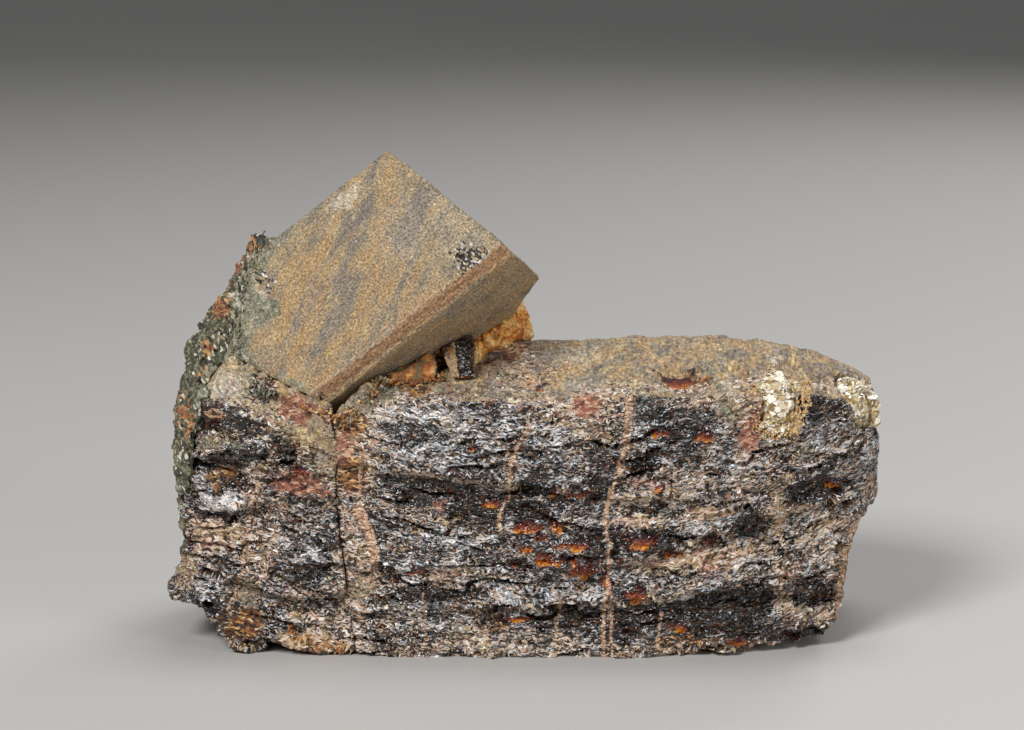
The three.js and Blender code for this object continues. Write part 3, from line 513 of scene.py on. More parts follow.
def skin_pattern(tree, lie, grain, drawn_out):
    """Colour and relief of the weathered skin: sandy grains, grain mm across, over soft mottling, with
    ochre iron stain and grey smears drawn out along the crystal, patches of other minerals where the
    skin is varied, chalky patches, and green films of chlorite. drawn_out is how often the streaks
    repeat in a mm along and across."""
    varied, ochre, grey, chalk, moss = (
        add(tree, "Attribute", 2, {"attribute_name": name})
        for name in ("varied", "ochre", "grey", "pale", "moss")
    )
    mottle = add(tree, "TexNoise", Vector=lie, Scale=0.42, Detail=4.0, Roughness=0.6)
    colour = add(tree, "ValToRGB", stops=[(0.3, 0x6E665A), (0.5, 0x96876F), (0.7, 0xAD9976)], Fac=mottle)
    cloud = add(tree, "TexNoise", 1, Vector=lie, Scale=0.5, Detail=5.0, Roughness=0.65)
    cloud = add(tree, "SeparateColor", 0, Color=cloud).node.outputs
    coats = []
    for patch, low, code in zip(cloud, (0.54, 0.55, 0.58), (0xCBB482, 0x7A716E, 0xB27D5C)):
        cover = add(tree, "MapRange", Value=patch, From_Min=low, From_Max=low + 0.08, To_Max=0.85)
        coats.append((add(tree, "Math", 0, TIMES, s0=cover, s1=varied), hexed(code)))
    drawn = add(tree, "Mapping", Vector=lie, Rotation=(0, 0, SCRATCH_TURN))
    broad = add(tree, "Mapping", Vector=drawn, Scale=drawn_out)
    broad = add(tree, "TexNoise", Vector=broad, Scale=1.0, Detail=4.0, Roughness=0.62, Distortion=0.5)
    hair = add(tree, "Mapping", Vector=drawn, Scale=tuple(often * 3.2 for often in drawn_out))
    hair = add(tree, "TexNoise", Vector=hair, Scale=1.0, Detail=4.0, Roughness=0.65, Distortion=0.4)
    stain = add(tree, "Mix", 0, s0=0.42, s2=broad, s3=hair)
    stain = add(tree, "Math", 0, TIMES_PLUS, s0=ochre, s1=0.12, s2=stain)
    stain = add(tree, "MapRange", Value=stain, From_Min=0.54, From_Max=0.66, To_Max=0.9)
    deep = add(tree, "MapRange", Value=ochre, From_Min=0.9, From_Max=1.7)
    iron = add(tree, "Mix", 2, LAYER, s0=deep, s6=hexed(0xA98A60), s7=hexed(0x9C7450))
    smear = add(tree, "MapRange", Value=broad, From_Min=0.5, From_Max=0.36)
    smear = add(tree, "Math", 0, TIMES, s0=smear, s1=grey)
    scratch = add(tree, "MapRange", Value=hair, From_Min=0.62, From_Max=0.7, To_Max=0.6)
    pale = add(tree, "TexNoise", Vector=lie, Scale=2.2, Detail=5.0, Roughness=0.7)
    pale = add(tree, "MapRange", Value=pale, From_Min=0.4, From_Max=0.56)
    pale = add(tree, "Math", 0, TIMES, s0=pale, s1=chalk)
    damp = add(tree, "TexNoise", Vector=lie, Scale=1.3, Detail=5.0, Roughness=0.7)
    film = add(tree, "MapRange", Value=damp, From_Min=0.25, From_Max=0.75, To_Min=-0.5, To_Max=0.5)
    film = add(tree, "Math", 0, SUM, s0=film, s1=moss)
    film = add(tree, "MapRange", Value=film, From_Min=0.38, From_Max=0.6, To_Max=0.85)
    green = add(tree, "ValToRGB", stops=[
        (0.35, 0x2A2E24), (0.47, 0x5B604D), (0.55, 0x868571), (0.68, 0xB5B19A)], Fac=damp)
    coats += [(stain, iron), (smear, hexed(0x7A7167)), (scratch, hexed(0xCCAE7E)), (pale, hexed(0xC8C1B0)),
              (film, green)]
    for cover, paint in coats:
        colour = add(tree, "Mix", 2, LAYER, s0=cover, s6=colour, s7=paint)
    grit = add(tree, "TexVoronoi", 1, Vector=lie, Scale=1 / grain)
    grit = add(tree, "SeparateColor", 0, Color=grit)
    shade = add(tree, "MapRange", Value=grit, To_Min=0.72, To_Max=1.3)
    fine = add(tree, "TexNoise", Vector=lie, Scale=0.8 / grain, Detail=3.0, Roughness=0.75)
    fine = add(tree, "MapRange", Value=fine, From_Min=0.36, From_Max=0.64, To_Min=0.4, To_Max=1.5)
    shade = add(tree, "Math", 0, TIMES, s0=shade, s1=fine)
    colour = add(tree, "Mix", 2, TINT, s0=1.0, s6=colour, s7=shade)
    relief = add(tree, "Math", 0, SUM, s0=shade, s1=hair)
    return colour, relief


def weathered_skin():
    """Weathered aeschynite: the old face of the crystal, gone dull under a thin rind of clay and
    iron stain. It gives a matt, sandy tan with ochre streaks and no gloss, black where it is chipped, with
    a few pale cells on the chips that are painted glints."""
    material, tree = new_finish("weathered_skin")
    lie = add(tree, "Attribute", 1, {"attribute_name": "lie"})
    colour, relief = skin_pattern(tree, lie, 0.18, (0.1, 0.5, 0.9))
    chip = add(tree, "Mapping", Vector=lie, Scale=(1 / 0.22, 1 / 0.3, 1 / 0.3))
    chip = add(tree, "TexVoronoi", 1, Vector=chip, Scale=1.0)
    parts = add(tree, "SeparateColor", 0, Color=chip).node.outputs
    bare = add(tree, "Attribute", 2, {"attribute_name": "bare"})
    bare = add(tree, "Math", 0, SUM, s0=parts[0], s1=bare)
    bare = add(tree, "MapRange", Value=bare, From_Min=0.98, From_Max=1.04)
    # Chipped spots: the black mineral, with a few pale grey cells that are painted glints on the broken
    # facets.
    black = add(tree, "ValToRGB", stops=[
        (0.0, 0x0C0908), (0.6, 0x3A2C24), (0.75, 0x8A8078), (0.9, 0xDAD6D0)], Fac=parts[1])
    colour = add(tree, "Mix", 2, LAYER, s0=bare, s6=colour, s7=black)
    rough = add(tree, "MapRange", Value=bare, To_Min=0.86, To_Max=0.35)
    bump = add(tree, "Bump", Height=relief, Strength=0.7, Distance=0.00006)
    shade = add(tree, "BsdfPrincipled", Base_Color=colour, Roughness=rough, IOR=1.5, Normal=bump)
    add(tree, "OutputMaterial", None, Surface=shade)
    return material


def broken_aeschynite():
    """Aeschynite broken across the crystal: black with a resinous to half-metallic lustre. The break
    is a hackle of stretched facets 0.15 to 0.5 mm long, some painted a bright silvery grey as glints, a
    painted highlight in the colour, some pitch black. Clay dust, rusty veins and amber windows lie on it;
    the windows carry a painted glow, brighter towards their lower edge, for the light that gets through
    thin splinters."""
    material, tree = new_finish("broken_aeschynite")
    marks = {name: add(tree, "Attribute", 2, {"attribute_name": name})
             for name in ("dull", "dust", "skin", "rose", "rust", "amber", "glow", "vein")}
    lie = add(tree, "Attribute", 1, {"attribute_name": "lie"})
    stir = add(tree, "TexNoise", 1, Vector=lie, Scale=0.9, Detail=2.0, Roughness=0.5)
    bent = add(tree, "VectorMath", 0, TIMES_PLUS, s0=stir, s1=(1.2, 1.2, 1.2), s2=lie)

    # Facets of two sizes, with a random colour for each, and fibres between them.
    cells = []
    for across in ((0.46, 1.3, 0.17), (0.2, 0.6, 0.11)):
        cell = add(tree, "Mapping", Vector=bent, Scale=tuple(1 / side for side in across))
        cells.append(add(tree, "TexVoronoi", 1, Vector=cell, Scale=1.0))
    first, second = (add(tree, "SeparateColor", 0, Color=cell).node.outputs for cell in cells)
    fibre = add(tree, "Mapping", Vector=bent, Scale=(1.8, 0.7, 5.8))
    fibre = add(tree, "TexNoise", Vector=fibre, Scale=1.0, Detail=3.0, Roughness=0.6)
    fibre = add(tree, "MapRange", Value=fibre, From_Min=0.34, From_Max=0.66)
    facet = add(tree, "Mix", 0, s0=0.5, s2=first[0], s3=second[0])
    facet = add(tree, "Mix", 0, s0=0.52, s2=facet, s3=fibre)

    # Painted glints: facets brighter than the place's dull mark are painted a silvery grey, a painted
    # highlight for the lamp's glints, and the others stay pitch black, the mineral's own colour.
    edge = add(tree, "Math", 0, LESS, s0=facet, s1=marks["dull"])
    painted_glint = add(tree, "MapRange", Value=edge, From_Min=-0.03, From_Max=0.08)
    seam = add(tree, "Mapping", Vector=bent, Scale=(0.4, 1.0, 3.0))
    seam = add(tree, "TexNoise", Vector=seam, Scale=1.0, Detail=5.0, Roughness=0.65)
    seam = add(tree, "MapRange", Value=seam, From_Min=0.41, From_Max=0.46)
    painted_glint = add(tree, "Math", 0, TIMES, s0=painted_glint, s1=seam)
    glint_strength = add(tree, "MapRange", Value=edge, From_Max=0.34)
    glint_strength = add(tree, "Mix", 0, s0=0.45, s2=glint_strength, s3=second[1])
    glint_colour = add(tree, "ValToRGB", stops=[
        (0.05, 0x48494E), (0.3, 0x828488), (0.58, 0xC6C8CB), (0.85, 0xFFFFFF)], Fac=glint_strength)
    glint_tint = add(tree, "ValToRGB", stops=[
        (0.0, 0xECF2F8), (0.4, 0xFDFDFD), (0.65, 0xFFF6EA), (0.9, 0xF2E0D6)], Fac=first[2])
    glint_colour = add(tree, "Mix", 2, TINT, s0=1.0, s6=glint_colour, s7=glint_tint)
    pitch = add(tree, "ValToRGB", stops=[
        (0.0, 0x040303), (0.5, 0x120E0B), (0.75, 0x2C2118), (0.92, 0x4E3722),
        (1.0, 0x602A18)], Fac=first[1])

    # Clay dust, rosy or sandy.
    warm = add(tree, "TexNoise", 1, Vector=lie, Scale=0.7, Detail=6.0, Roughness=0.72)
    warm = add(tree, "SeparateColor", 0, Color=warm).node.outputs
    dusted = add(tree, "Mix", 0, s0=0.5, s2=warm[0], s3=second[2])
    dusted = add(tree, "Math", 0, SUM, s0=dusted, s1=marks["dust"])
    dusted = add(tree, "MapRange", Value=dusted, From_Min=0.84, From_Max=0.95)
    rosy = add(tree, "ValToRGB", stops=[
        (0.0, 0x2E1B15), (0.2, 0x765140), (0.45, 0xAA8872), (0.7, 0xC6AB98),
        (0.88, 0xCDC0B6), (1.0, 0xEEE8E0),
    ], Fac=first[2])
    sandy = add(tree, "ValToRGB", stops=[
        (0.0, 0x2A2118), (0.2, 0x6C5840), (0.45, 0xA38A66), (0.7, 0xC4AC88),
        (0.88, 0xCDC1AA), (1.0, 0xEBE4D4),
    ], Fac=first[2])
    kind = add(tree, "MapRange", Value=warm[1], From_Min=0.44, From_Max=0.58)
    clay = add(tree, "Mix", 2, LAYER, s0=kind, s6=rosy, s7=sandy)

    # Edges of every stain are ragged, and end on a facet's edge.
    ragged = add(tree, "TexNoise", Vector=lie, Scale=2.2, Detail=5.0, Roughness=0.7)
    ragged = add(tree, "MapRange", Value=ragged, From_Min=0.3, From_Max=0.7, To_Min=-0.3, To_Max=0.3)
    chance = add(tree, "MapRange", Value=second[1], To_Min=-0.3, To_Max=0.3)
    grainy = add(tree, "Math", 0, SUM, s0=ragged, s1=chance)
    laid = add(tree, "Mapping", Vector=lie, Scale=(1, 0.35, 1))
    old, relief = skin_pattern(tree, laid, 0.26, (0.28, 0.42, 0.42))
    skin = add(tree, "Math", 0, TIMES_PLUS, s0=grainy, s1=0.8, s2=marks["skin"])
    skin = add(tree, "MapRange", Value=skin, From_Min=0.45, From_Max=0.56)

    rose = add(tree, "Math", 0, TIMES_PLUS, s0=grainy, s1=1.3, s2=marks["rose"])
    rose = add(tree, "MapRange", Value=rose, From_Min=0.0, From_Max=0.25, To_Max=0.9)
    pink = add(tree, "ValToRGB", stops=[
        (0.0, 0x2E1814), (0.25, 0x7E4636), (0.6, 0x9C5F46), (0.85, 0xB2866A),
        (1.0, 0xCEB49C)], Fac=first[2])

    rust = add(tree, "Math", 0, SUM, s0=marks["rust"], s1=grainy)
    rust = add(tree, "MapRange", Value=rust, From_Min=0.0, From_Max=0.2, To_Max=0.95)
    iron = add(tree, "ValToRGB", stops=[
        (0.0, 0x100A06), (0.35, 0x42240F), (0.65, 0x824E22), (0.87, 0xB07E42),
        (1.0, 0xD4B684)], Fac=first[2])

    window = add(tree, "Math", 0, TIMES_PLUS, s0=ragged, s1=0.9, s2=marks["amber"])
    window = add(tree, "MapRange", Value=window, From_Min=0.0, From_Max=0.08)
    # Amber windows: the mineral's red-brown, with a painted glow that grows brighter and more orange
    # towards each window's lower edge, as if light came through.
    glow = add(tree, "Mix", 0, s0=0.35, s2=marks["glow"], s3=second[0])
    amber_and_painted_glow = add(tree, "ValToRGB", stops=[
        (0.25, 0x140402), (0.5, 0x521507), (0.7, 0x90400D), (0.9, 0xD08620)], Fac=glow)

    vein = add(tree, "Math", 0, TIMES_PLUS, s0=grainy, s1=0.4, s2=marks["vein"])
    vein = add(tree, "MapRange", Value=vein, From_Min=-0.05, From_Max=0.08, To_Max=0.95)
    fill = add(tree, "Mix", 0, s0=0.5, s2=second[2], s3=fibre)
    fill = add(tree, "ValToRGB", stops=[
        (0.1, 0x5A382A), (0.35, 0x9E7456), (0.6, 0xC6A484), (0.9, 0xE6D6BE)], Fac=fill)

    colour = pitch
    for cover, paint in ((painted_glint, glint_colour), (dusted, clay), (skin, old), (rose, pink), (rust, iron),
                         (window, amber_and_painted_glow), (vein, fill)):
        colour = add(tree, "Mix", 2, LAYER, s0=cover, s6=colour, s7=paint)
    dull = dusted
    for cover in (rose, vein, rust, skin):
        dull = add(tree, "Math", 0, MOST, s0=dull, s1=cover)
    rough = add(tree, "MapRange", Value=dull, To_Min=0.27, To_Max=0.85)

    # Each facet leans its own way, less under dust and stain.
    lean = add(tree, "VectorMath", 0, SUM, s0=cells[0], s1=cells[1])
    lean = add(tree, "VectorMath", 0, LESS, s0=lean, s1=(1, 1, 1))
    sharp = add(tree, "MapRange", Value=dull, To_Min=0.7, To_Max=0.25)
    lean = add(tree, "VectorMath", 0, {"operation": "SCALE"}, s0=lean, Scale=sharp)
    turned = add(tree, "VectorMath", 0, SUM, s0=add(tree, "NewGeometry", 1), s1=lean)
    turned = add(tree, "VectorMath", 0, {"operation": "NORMALIZE"}, s0=turned)
    raised = add(tree, "Math", 0, TIMES, s0=relief, s1=skin)
    bump = add(tree, "Bump", Height=raised, Strength=0.6, Distance=0.00006, Normal=turned)
    shade = add(tree, "BsdfPrincipled", Base_Color=colour, Roughness=rough, IOR=1.6, Normal=bump)
    add(tree, "OutputMaterial", None, Surface=shade)
    return material


def chlorite_rind():
    """Chlorite and altered pegmatite: thin green-grey flakes stacked on edge, matt to silky,
    with pale mica specks and rust where iron has run down between them."""
    material, tree = new_finish("chlorite_rind")
    lie = add(tree, "Attribute", 1, {"attribute_name": "lie"})
    upright = add(tree, "Mapping", Vector=lie, Rotation=(0, math.radians(20), 0))
    leaf = add(tree, "Mapping", Vector=upright, Scale=(2.6, 1.4, 0.6))
    leaf = add(tree, "TexNoise", Vector=leaf, Scale=1.0, Detail=7.0, Roughness=0.72)
    tone = add(tree, "ValToRGB", stops=[
        (0.33, 0x0C0E0A), (0.43, 0x2E3226), (0.5, 0x545541), (0.58, 0x7E7458), (0.7, 0xAAA38A)], Fac=leaf)
    flake = add(tree, "Mapping", Vector=upright, Scale=(1 / 0.22, 1 / 0.3, 1 / 0.5))
    flake = add(tree, "TexVoronoi", 1, Vector=flake, Scale=1.0)
    parts = add(tree, "SeparateColor", 0, Color=flake).node.outputs
    shade = add(tree, "MapRange", Value=parts[0], To_Min=0.32, To_Max=1.48)
    colour = add(tree, "Mix", 2, TINT, s0=1.0, s6=tone, s7=shade)
    speck = add(tree, "MapRange", Value=parts[1], From_Min=0.93, From_Max=0.97)
    ragged = add(tree, "TexNoise", Vector=lie, Scale=0.75, Detail=6.0, Roughness=0.7)
    ragged = add(tree, "MapRange", Value=ragged, From_Min=0.25, From_Max=0.75, To_Min=-1.6, To_Max=1.6)
    chance = add(tree, "MapRange", Value=parts[2], To_Min=-0.35, To_Max=0.35)
    grainy = add(tree, "Math", 0, SUM, s0=ragged, s1=chance)
    iron = add(tree, "ValToRGB", stops=[
        (0.0, 0x35150D), (0.35, 0x7E3A22), (0.7, 0xAE6E3A), (1.0, 0xC9A36C)], Fac=parts[2])
    white = add(tree, "ValToRGB", stops=[(0.0, 0x6D6F5E), (0.5, 0xA9A894), (1.0, 0xDAD8C8)], Fac=parts[1])
    coats = [(speck, hexed(0xD2D0BE))]
    for name, soft, most, paint in (("rust", 0.4, 0.85, iron), ("pale", 0.5, 0.8, white)):
        cover = add(tree, "Attribute", 2, {"attribute_name": name})
        cover = add(tree, "Math", 0, SUM, s0=cover, s1=grainy)
        coats.append((add(tree, "MapRange", Value=cover, From_Min=0.0, From_Max=soft, To_Max=most), paint))
    for cover, paint in coats:
        colour = add(tree, "Mix", 2, LAYER, s0=cover, s6=colour, s7=paint)
    relief = add(tree, "Math", 0, SUM, s0=leaf, s1=parts[0])
    bump = add(tree, "Bump", Height=relief, Strength=0.8, Distance=0.00012)
    shade = add(tree, "BsdfPrincipled", Base_Color=colour, Roughness=0.62, IOR=1.58, Normal=bump)
    add(tree, "OutputMaterial", None, Surface=shade)
    return material


def stained_feldspar():
    """Potassium feldspar soaked with iron: orange to red-brown, crumbly and matt, with a few
    glassy grains of 0.3 mm."""
    material, tree = new_finish("stained_feldspar")
    lie = add(tree, "Attribute", 1, {"attribute_name": "lie"})
    cloud = add(tree, "TexNoise", Vector=lie, Scale=0.6, Detail=6.0, Roughness=0.68)
    tone = add(tree, "ValToRGB", stops=[
        (0.3, 0x5E3218), (0.4, 0xB0602C), (0.47, 0xD49A4C), (0.56, 0xDCB878), (0.7, 0xE8D4A8)], Fac=cloud)
    grit = add(tree, "TexVoronoi", 1, Vector=lie, Scale=1 / 0.26)
    parts = add(tree, "SeparateColor", 0, Color=grit).node.outputs
    shade = add(tree, "MapRange", Value=parts[0], To_Min=0.62, To_Max=1.7)
    colour = add(tree, "Mix", 2, TINT, s0=1.0, s6=tone, s7=shade)
    other = add(tree, "Attribute", 2, {"attribute_name": "tone"})
    other = add(tree, "ValToRGB", stops=[
        (0.0, 0x15170F), (0.25, 0x40452F), (0.45, 0x7E3A1E), (0.6, 0xA86A30),
        (0.8, 0xC49A62), (1.0, 0xE0CBA2),
    ], Fac=other)
    mixed = add(tree, "Attribute", 2, {"attribute_name": "mixed"})
    colour = add(tree, "Mix", 2, LAYER, s0=mixed, s6=colour, s7=other)
    rough = add(tree, "MapRange", Value=parts[1], From_Min=0.85, From_Max=0.9, To_Min=0.8, To_Max=0.35)
    relief = add(tree, "Math", 0, SUM, s0=cloud, s1=parts[0])
    bump = add(tree, "Bump", Height=relief, Strength=0.8, Distance=0.00012)
    shade = add(tree, "BsdfPrincipled", Base_Color=colour, Roughness=rough, IOR=1.53, Normal=bump)
    add(tree, "OutputMaterial", None, Surface=shade)
    return material


def muscovite():
    """Muscovite: books of thin pale gold plates, split along one flat direction. Each plate is
    pearly, and brown where iron has crept in."""
    material, tree = new_finish("muscovite")
    lie = add(tree, "Attribute", 1, {"attribute_name": "lie"})
    plate = add(tree, "Attribute", 2, {"attribute_name": "plate"})
    colour = add(tree, "ValToRGB", stops=[
        (0.0, 0x6E5430), (0.25, 0xA88A58), (0.5, 0xD2BF92), (0.8, 0xF0E8D2), (1.0, 0xFFFDF6)], Fac=plate)
    cloud = add(tree, "TexNoise", Vector=lie, Scale=3.5, Detail=3.0)
    cloud = add(tree, "MapRange", Value=cloud, From_Min=0.3, From_Max=0.7, To_Min=0.72, To_Max=1.15)
    colour = add(tree, "Mix", 2, TINT, s0=1.0, s6=colour, s7=cloud)
    shade = add(tree, "BsdfPrincipled", Base_Color=colour, Roughness=0.3, IOR=1.6,
                Coat_Weight=0.4, Coat_Roughness=0.12)
    add(tree, "OutputMaterial", None, Surface=shade)
    return material


# ---------------------------------------------------------------- pieces

def lie_of_ledges(places):
    """Places along, into and across the broken ledges, which dip and then climb to the right."""
    lie = places.copy()
    run = np.clip(places[:, 0], -16, 40) + 15
    lie[:, 2] -= -0.2 * run + 0.0051 * run ** 2
    return lie


def broken_marks(places, facing, skin_edge, ragged):
    """Marks for the broken front: how dull each point is, that is how few painted glints it gets, so
    painted shade where it is high; and how dusty, stained or skinned it is. The skin takes over above
    skin_edge, which is ragged by so many mm."""
    flat = face_on(places)
    stir = np.stack((grain_of(places, 1.3, 3, 4), grain_of(places, 1.3, 4, 4)), axis=1)
    bent = flat + 0.75 * stir
    front = step(-facing @ SIGHT, -0.25, 0.15)
    # Painted glints and painted shade: the dull mark sets how few painted glints a place gets; the glint
    # patches lower it, and the unlit patches raise it for painted shade.
    unlit = patches(UNLIT, bent, 0.3)
    dull = 0.54 - 0.2 * patches(PAINTED_GLINTS, bent, 0.45) + 0.26 * unlit
    dull += 0.2 * grain_of(places, (2.6, 2, 1.1), 5, 3)
    dust = 0.04 + 0.4 * patches(DUSTED, bent, 0.45) + 0.16 * grain_of(places, 2.4, 6, 3)
    # Dust is thinner in the painted shade of the unlit patches and on the amber windows.
    dust += 0.07 * step(flat[:, 1], 2.6, 0.4) - 0.3 * patches(AMBER, flat, 0.3) - 0.3 * unlit
    edge = on_line(skin_edge, flat[:, 0]) + ragged * grain_of(places, 2.6, 7, 3)
    dust += 0.22 * step(flat[:, 1], edge - 2.2, edge)
    skin = np.clip(0.5 + (flat[:, 1] - edge) / 1.6, 0, 1)
    skin = np.maximum(skin, patches(OLD, bent, 0.4)) - patches(WORN, bent, 0.5)
    # Painted glow: each amber window is brighter towards its lower edge, as if lit through.
    glow = np.zeros(len(flat))
    for x, z, wide, high, _ in AMBER:
        near = np.hypot((flat[:, 0] - x) / wide, (flat[:, 1] - z) / high) < 1.5
        glow[near] = 0.5 - 0.5 * (flat[near, 1] - z) / high
    stains = {
        "amber": patches(AMBER, bent) + 0.14, "vein": along(VEINS, flat + 0.22 * stir) + 0.05 * stir[:, 0],
        "rose": patches(ROSE, bent), "rust": patches(RUSTY, bent),
    }
    return {
        "dull": np.clip(dull, 0.15, 0.97), "dust": dust, "glow": glow, "skin": np.clip(skin, 0, 1),
        "ochre": np.full(len(flat), 0.7), "grey": np.full(len(flat), 0.6),
        "moss": 0.8 * patches(MOSS, bent, 0.4), "pale": patches(CHALKY, bent, 0.4),
        "varied": np.ones(len(flat)), "lip": step(flat[:, 1], edge - 2.6, edge - 1),
        **{name: reach * front - (1 - front) for name, reach in stains.items()},
    }


def break_up(places, facing, lie, marks, calm=1.0, swell=0.0):
    """Moves the skin out and in as ledges and broken facets of three sizes, gently where it is weathered
    or calm is low. Each ledge leans back up to the lip of the next. Its dull mark is raised close under
    that lip, for painted shade, and lowered just above its own lip and on facets that stand out, for
    painted glints."""
    lip = marks.pop("lip")
    fresh = 1 - marks["skin"]
    phase = lie[:, 2] / LEDGE_HEIGHT + 1.1 * grain_of(lie, (9, 5, 4), 11, 3)
    rise = phase - np.floor(phase)
    bold = step(grain_of(lie, (7, 5, 3), 12), -0.3, 0.35) * (1 - 0.9 * lip)
    # Painted shade close under each lip; painted glints just above the lip and on facets that stand out.
    dull = marks["dull"] + 0.3 * bold * step(rise, 0.7, 0.95) - 0.1 * bold * step(rise, 0.5, 0.1)
    small = hackle(lie, (1.15, 0.9, 0.42), 2)
    tiny = hackle(lie, (0.5, 0.4, 0.2), 3)
    marks["dull"] = np.clip(dull - 0.07 * small - 0.05 * tiny, 0.1, 0.98)
    jag = 0.26 * hackle(lie, (3.4, 2.4, 1.15), 1) + 0.2 * small + 0.1 * tiny + 0.7 * bold * (0.5 - rise)
    jag += 0.6 * (0.6 - dull)
    soft = 0.22 * grain_of(places, 3, 8, 3) + 0.16 * grain_of(places, 1.1, 9, 3) + 0.06 * tiny
    move = (fresh * (1 - 0.6 * lip) * jag + (1 - fresh) * soft) * calm
    return places + facing * (np.clip(move, DEEPEST, PROUDEST) + swell)[:, None]


def from_crack(places):
    """How far each point stands from the contact between the two standing crystals, in mm."""
    return np.abs(places[:, 0] - on_line(CRACK, places[:, 2]) + 0.05 * places[:, 1])


def near_lumps(places, lumps):
    """1 on the lumps and 0 away from them."""
    near = np.zeros(len(places))
    for *centre, radius in lumps:
        near = np.maximum(near, step(np.linalg.norm(places - centre, axis=1), radius + 0.8, radius))
    return near


def main_stone(material):
    """The crystal that lies on its side: broken in front, old skin on top and at the back, dust below."""
    skin = even_copy("main_crystal", MAIN_LUMPS)
    refine(skin, 2, lambda f: f.normal.dot(SIGHT) < -0.28 and f.calc_center_median().y < 12)
    refine(skin, 1, lambda f: f.normal.z > 0.6 and f.calc_area() > 0.2)
    places, facing = corners(skin)
    marks = broken_marks(places, facing, MAIN_SKIN, 1.1)
    flat = face_on(places)
    back = step(facing[:, 1], 0.1, 0.5)
    top = step(facing[:, 2], 0.55, 0.8) * step(places[:, 2], 22, 24)
    under = step(-facing[:, 2], 0.5, 0.8)
    worn = patches(WORN, flat, 0.5) + 0.4 * step(flat[:, 1] - on_line(MAIN_SKIN, flat[:, 0]), 1.2, 0.2)
    marks["skin"] = np.maximum(marks["skin"] * (1 - under), np.maximum(top - worn, 0.75 * back))
    marks["skin"] = np.maximum(marks["skin"] - 0.45 * step(grain_of(places, 6, 21), 0.1, 0.4) * back, 0)
    marks["moss"] = np.maximum(marks["moss"], back * step(grain_of(places, 7, 23, 3), -0.1, 0.4))
    marks["dust"] += 0.3 * under + 0.25 * back + 0.4 * worn
    # Fewer painted glints where the break shows through worn skin.
    marks["dull"] += 0.1 * worn
    rusty = step(facing[:, 0], 0.5, 0.85) * step(places[:, 2], 20, 15) * step(places[:, 0], 28, 31)
    marks["rust"] = np.maximum(marks["rust"], rusty * 1.2 - 1 + 0.5 * grain_of(places, 2.0, 22, 3))
    marks["lie"] = lie = lie_of_ledges(places)
    stirred = flat + 0.3 * grain_of(places, 0.9, 24)[:, None]
    dent = patches(DENTS, stirred, 0.5) * step(facing[:, 2], 0.0, 0.4)
    gap = from_crack(places)
    calm = step(gap, 0.1, 1.6) * (1 - 0.7 * step(places[:, 0], 33, 35))
    calm *= 1 - 0.6 * near_lumps(places, MAIN_LUMPS)
    tip = step(places[:, 0], 33.5, 36) * step(places[:, 2], 14, 15)  # the right end above its notch
    hang = step(-facing[:, 2], 0.1, 0.5) * tip * step(places[:, 2], 17, 16.2)
    places = break_up(places, facing, lie, marks, calm, 0.14 * step(gap, 0.8, 0.3) + 0.12 * tip)
    places += np.stack((0.3 * tip, 0 * tip, -0.9 * hang), axis=1) - facing * dent[:, None]
    finish_piece("main_stone", skin, places, marks, material, ["main_crystal"])


def left_stone(material):
    """The broken crystal at the left end, with old skin on its top."""
    skin = even_copy("left_crystal", LEFT_LUMPS)
    refine(skin, 1, lambda f: f.normal.dot(SIGHT) < -0.15)
    places, facing = corners(skin)
    marks = broken_marks(places, facing, LEFT_SKIN, 0.4)
    marks["dust"] += 0.3 * step(facing[:, 1], 0.1, 0.5) + 0.15
    # Fewer painted glints on the left crystal's break.
    marks["dull"] += 0.05
    marks["lie"] = lie = places.copy()
    lie[:, 2] += 0.15 * places[:, 0]
    gap = from_crack(places)
    calm = step(gap, 0.1, 1.6) * (1 - 0.6 * step(places[:, 2], 23, 26))
    swell = 0.14 * step(gap, 0.8, 0.3) + 0.1 * step(places[:, 2], 23, 25)
    places = break_up(places, facing, lie, marks, calm, swell)
    finish_piece("left_stone", skin, places, marks, material, ["left_crystal"])


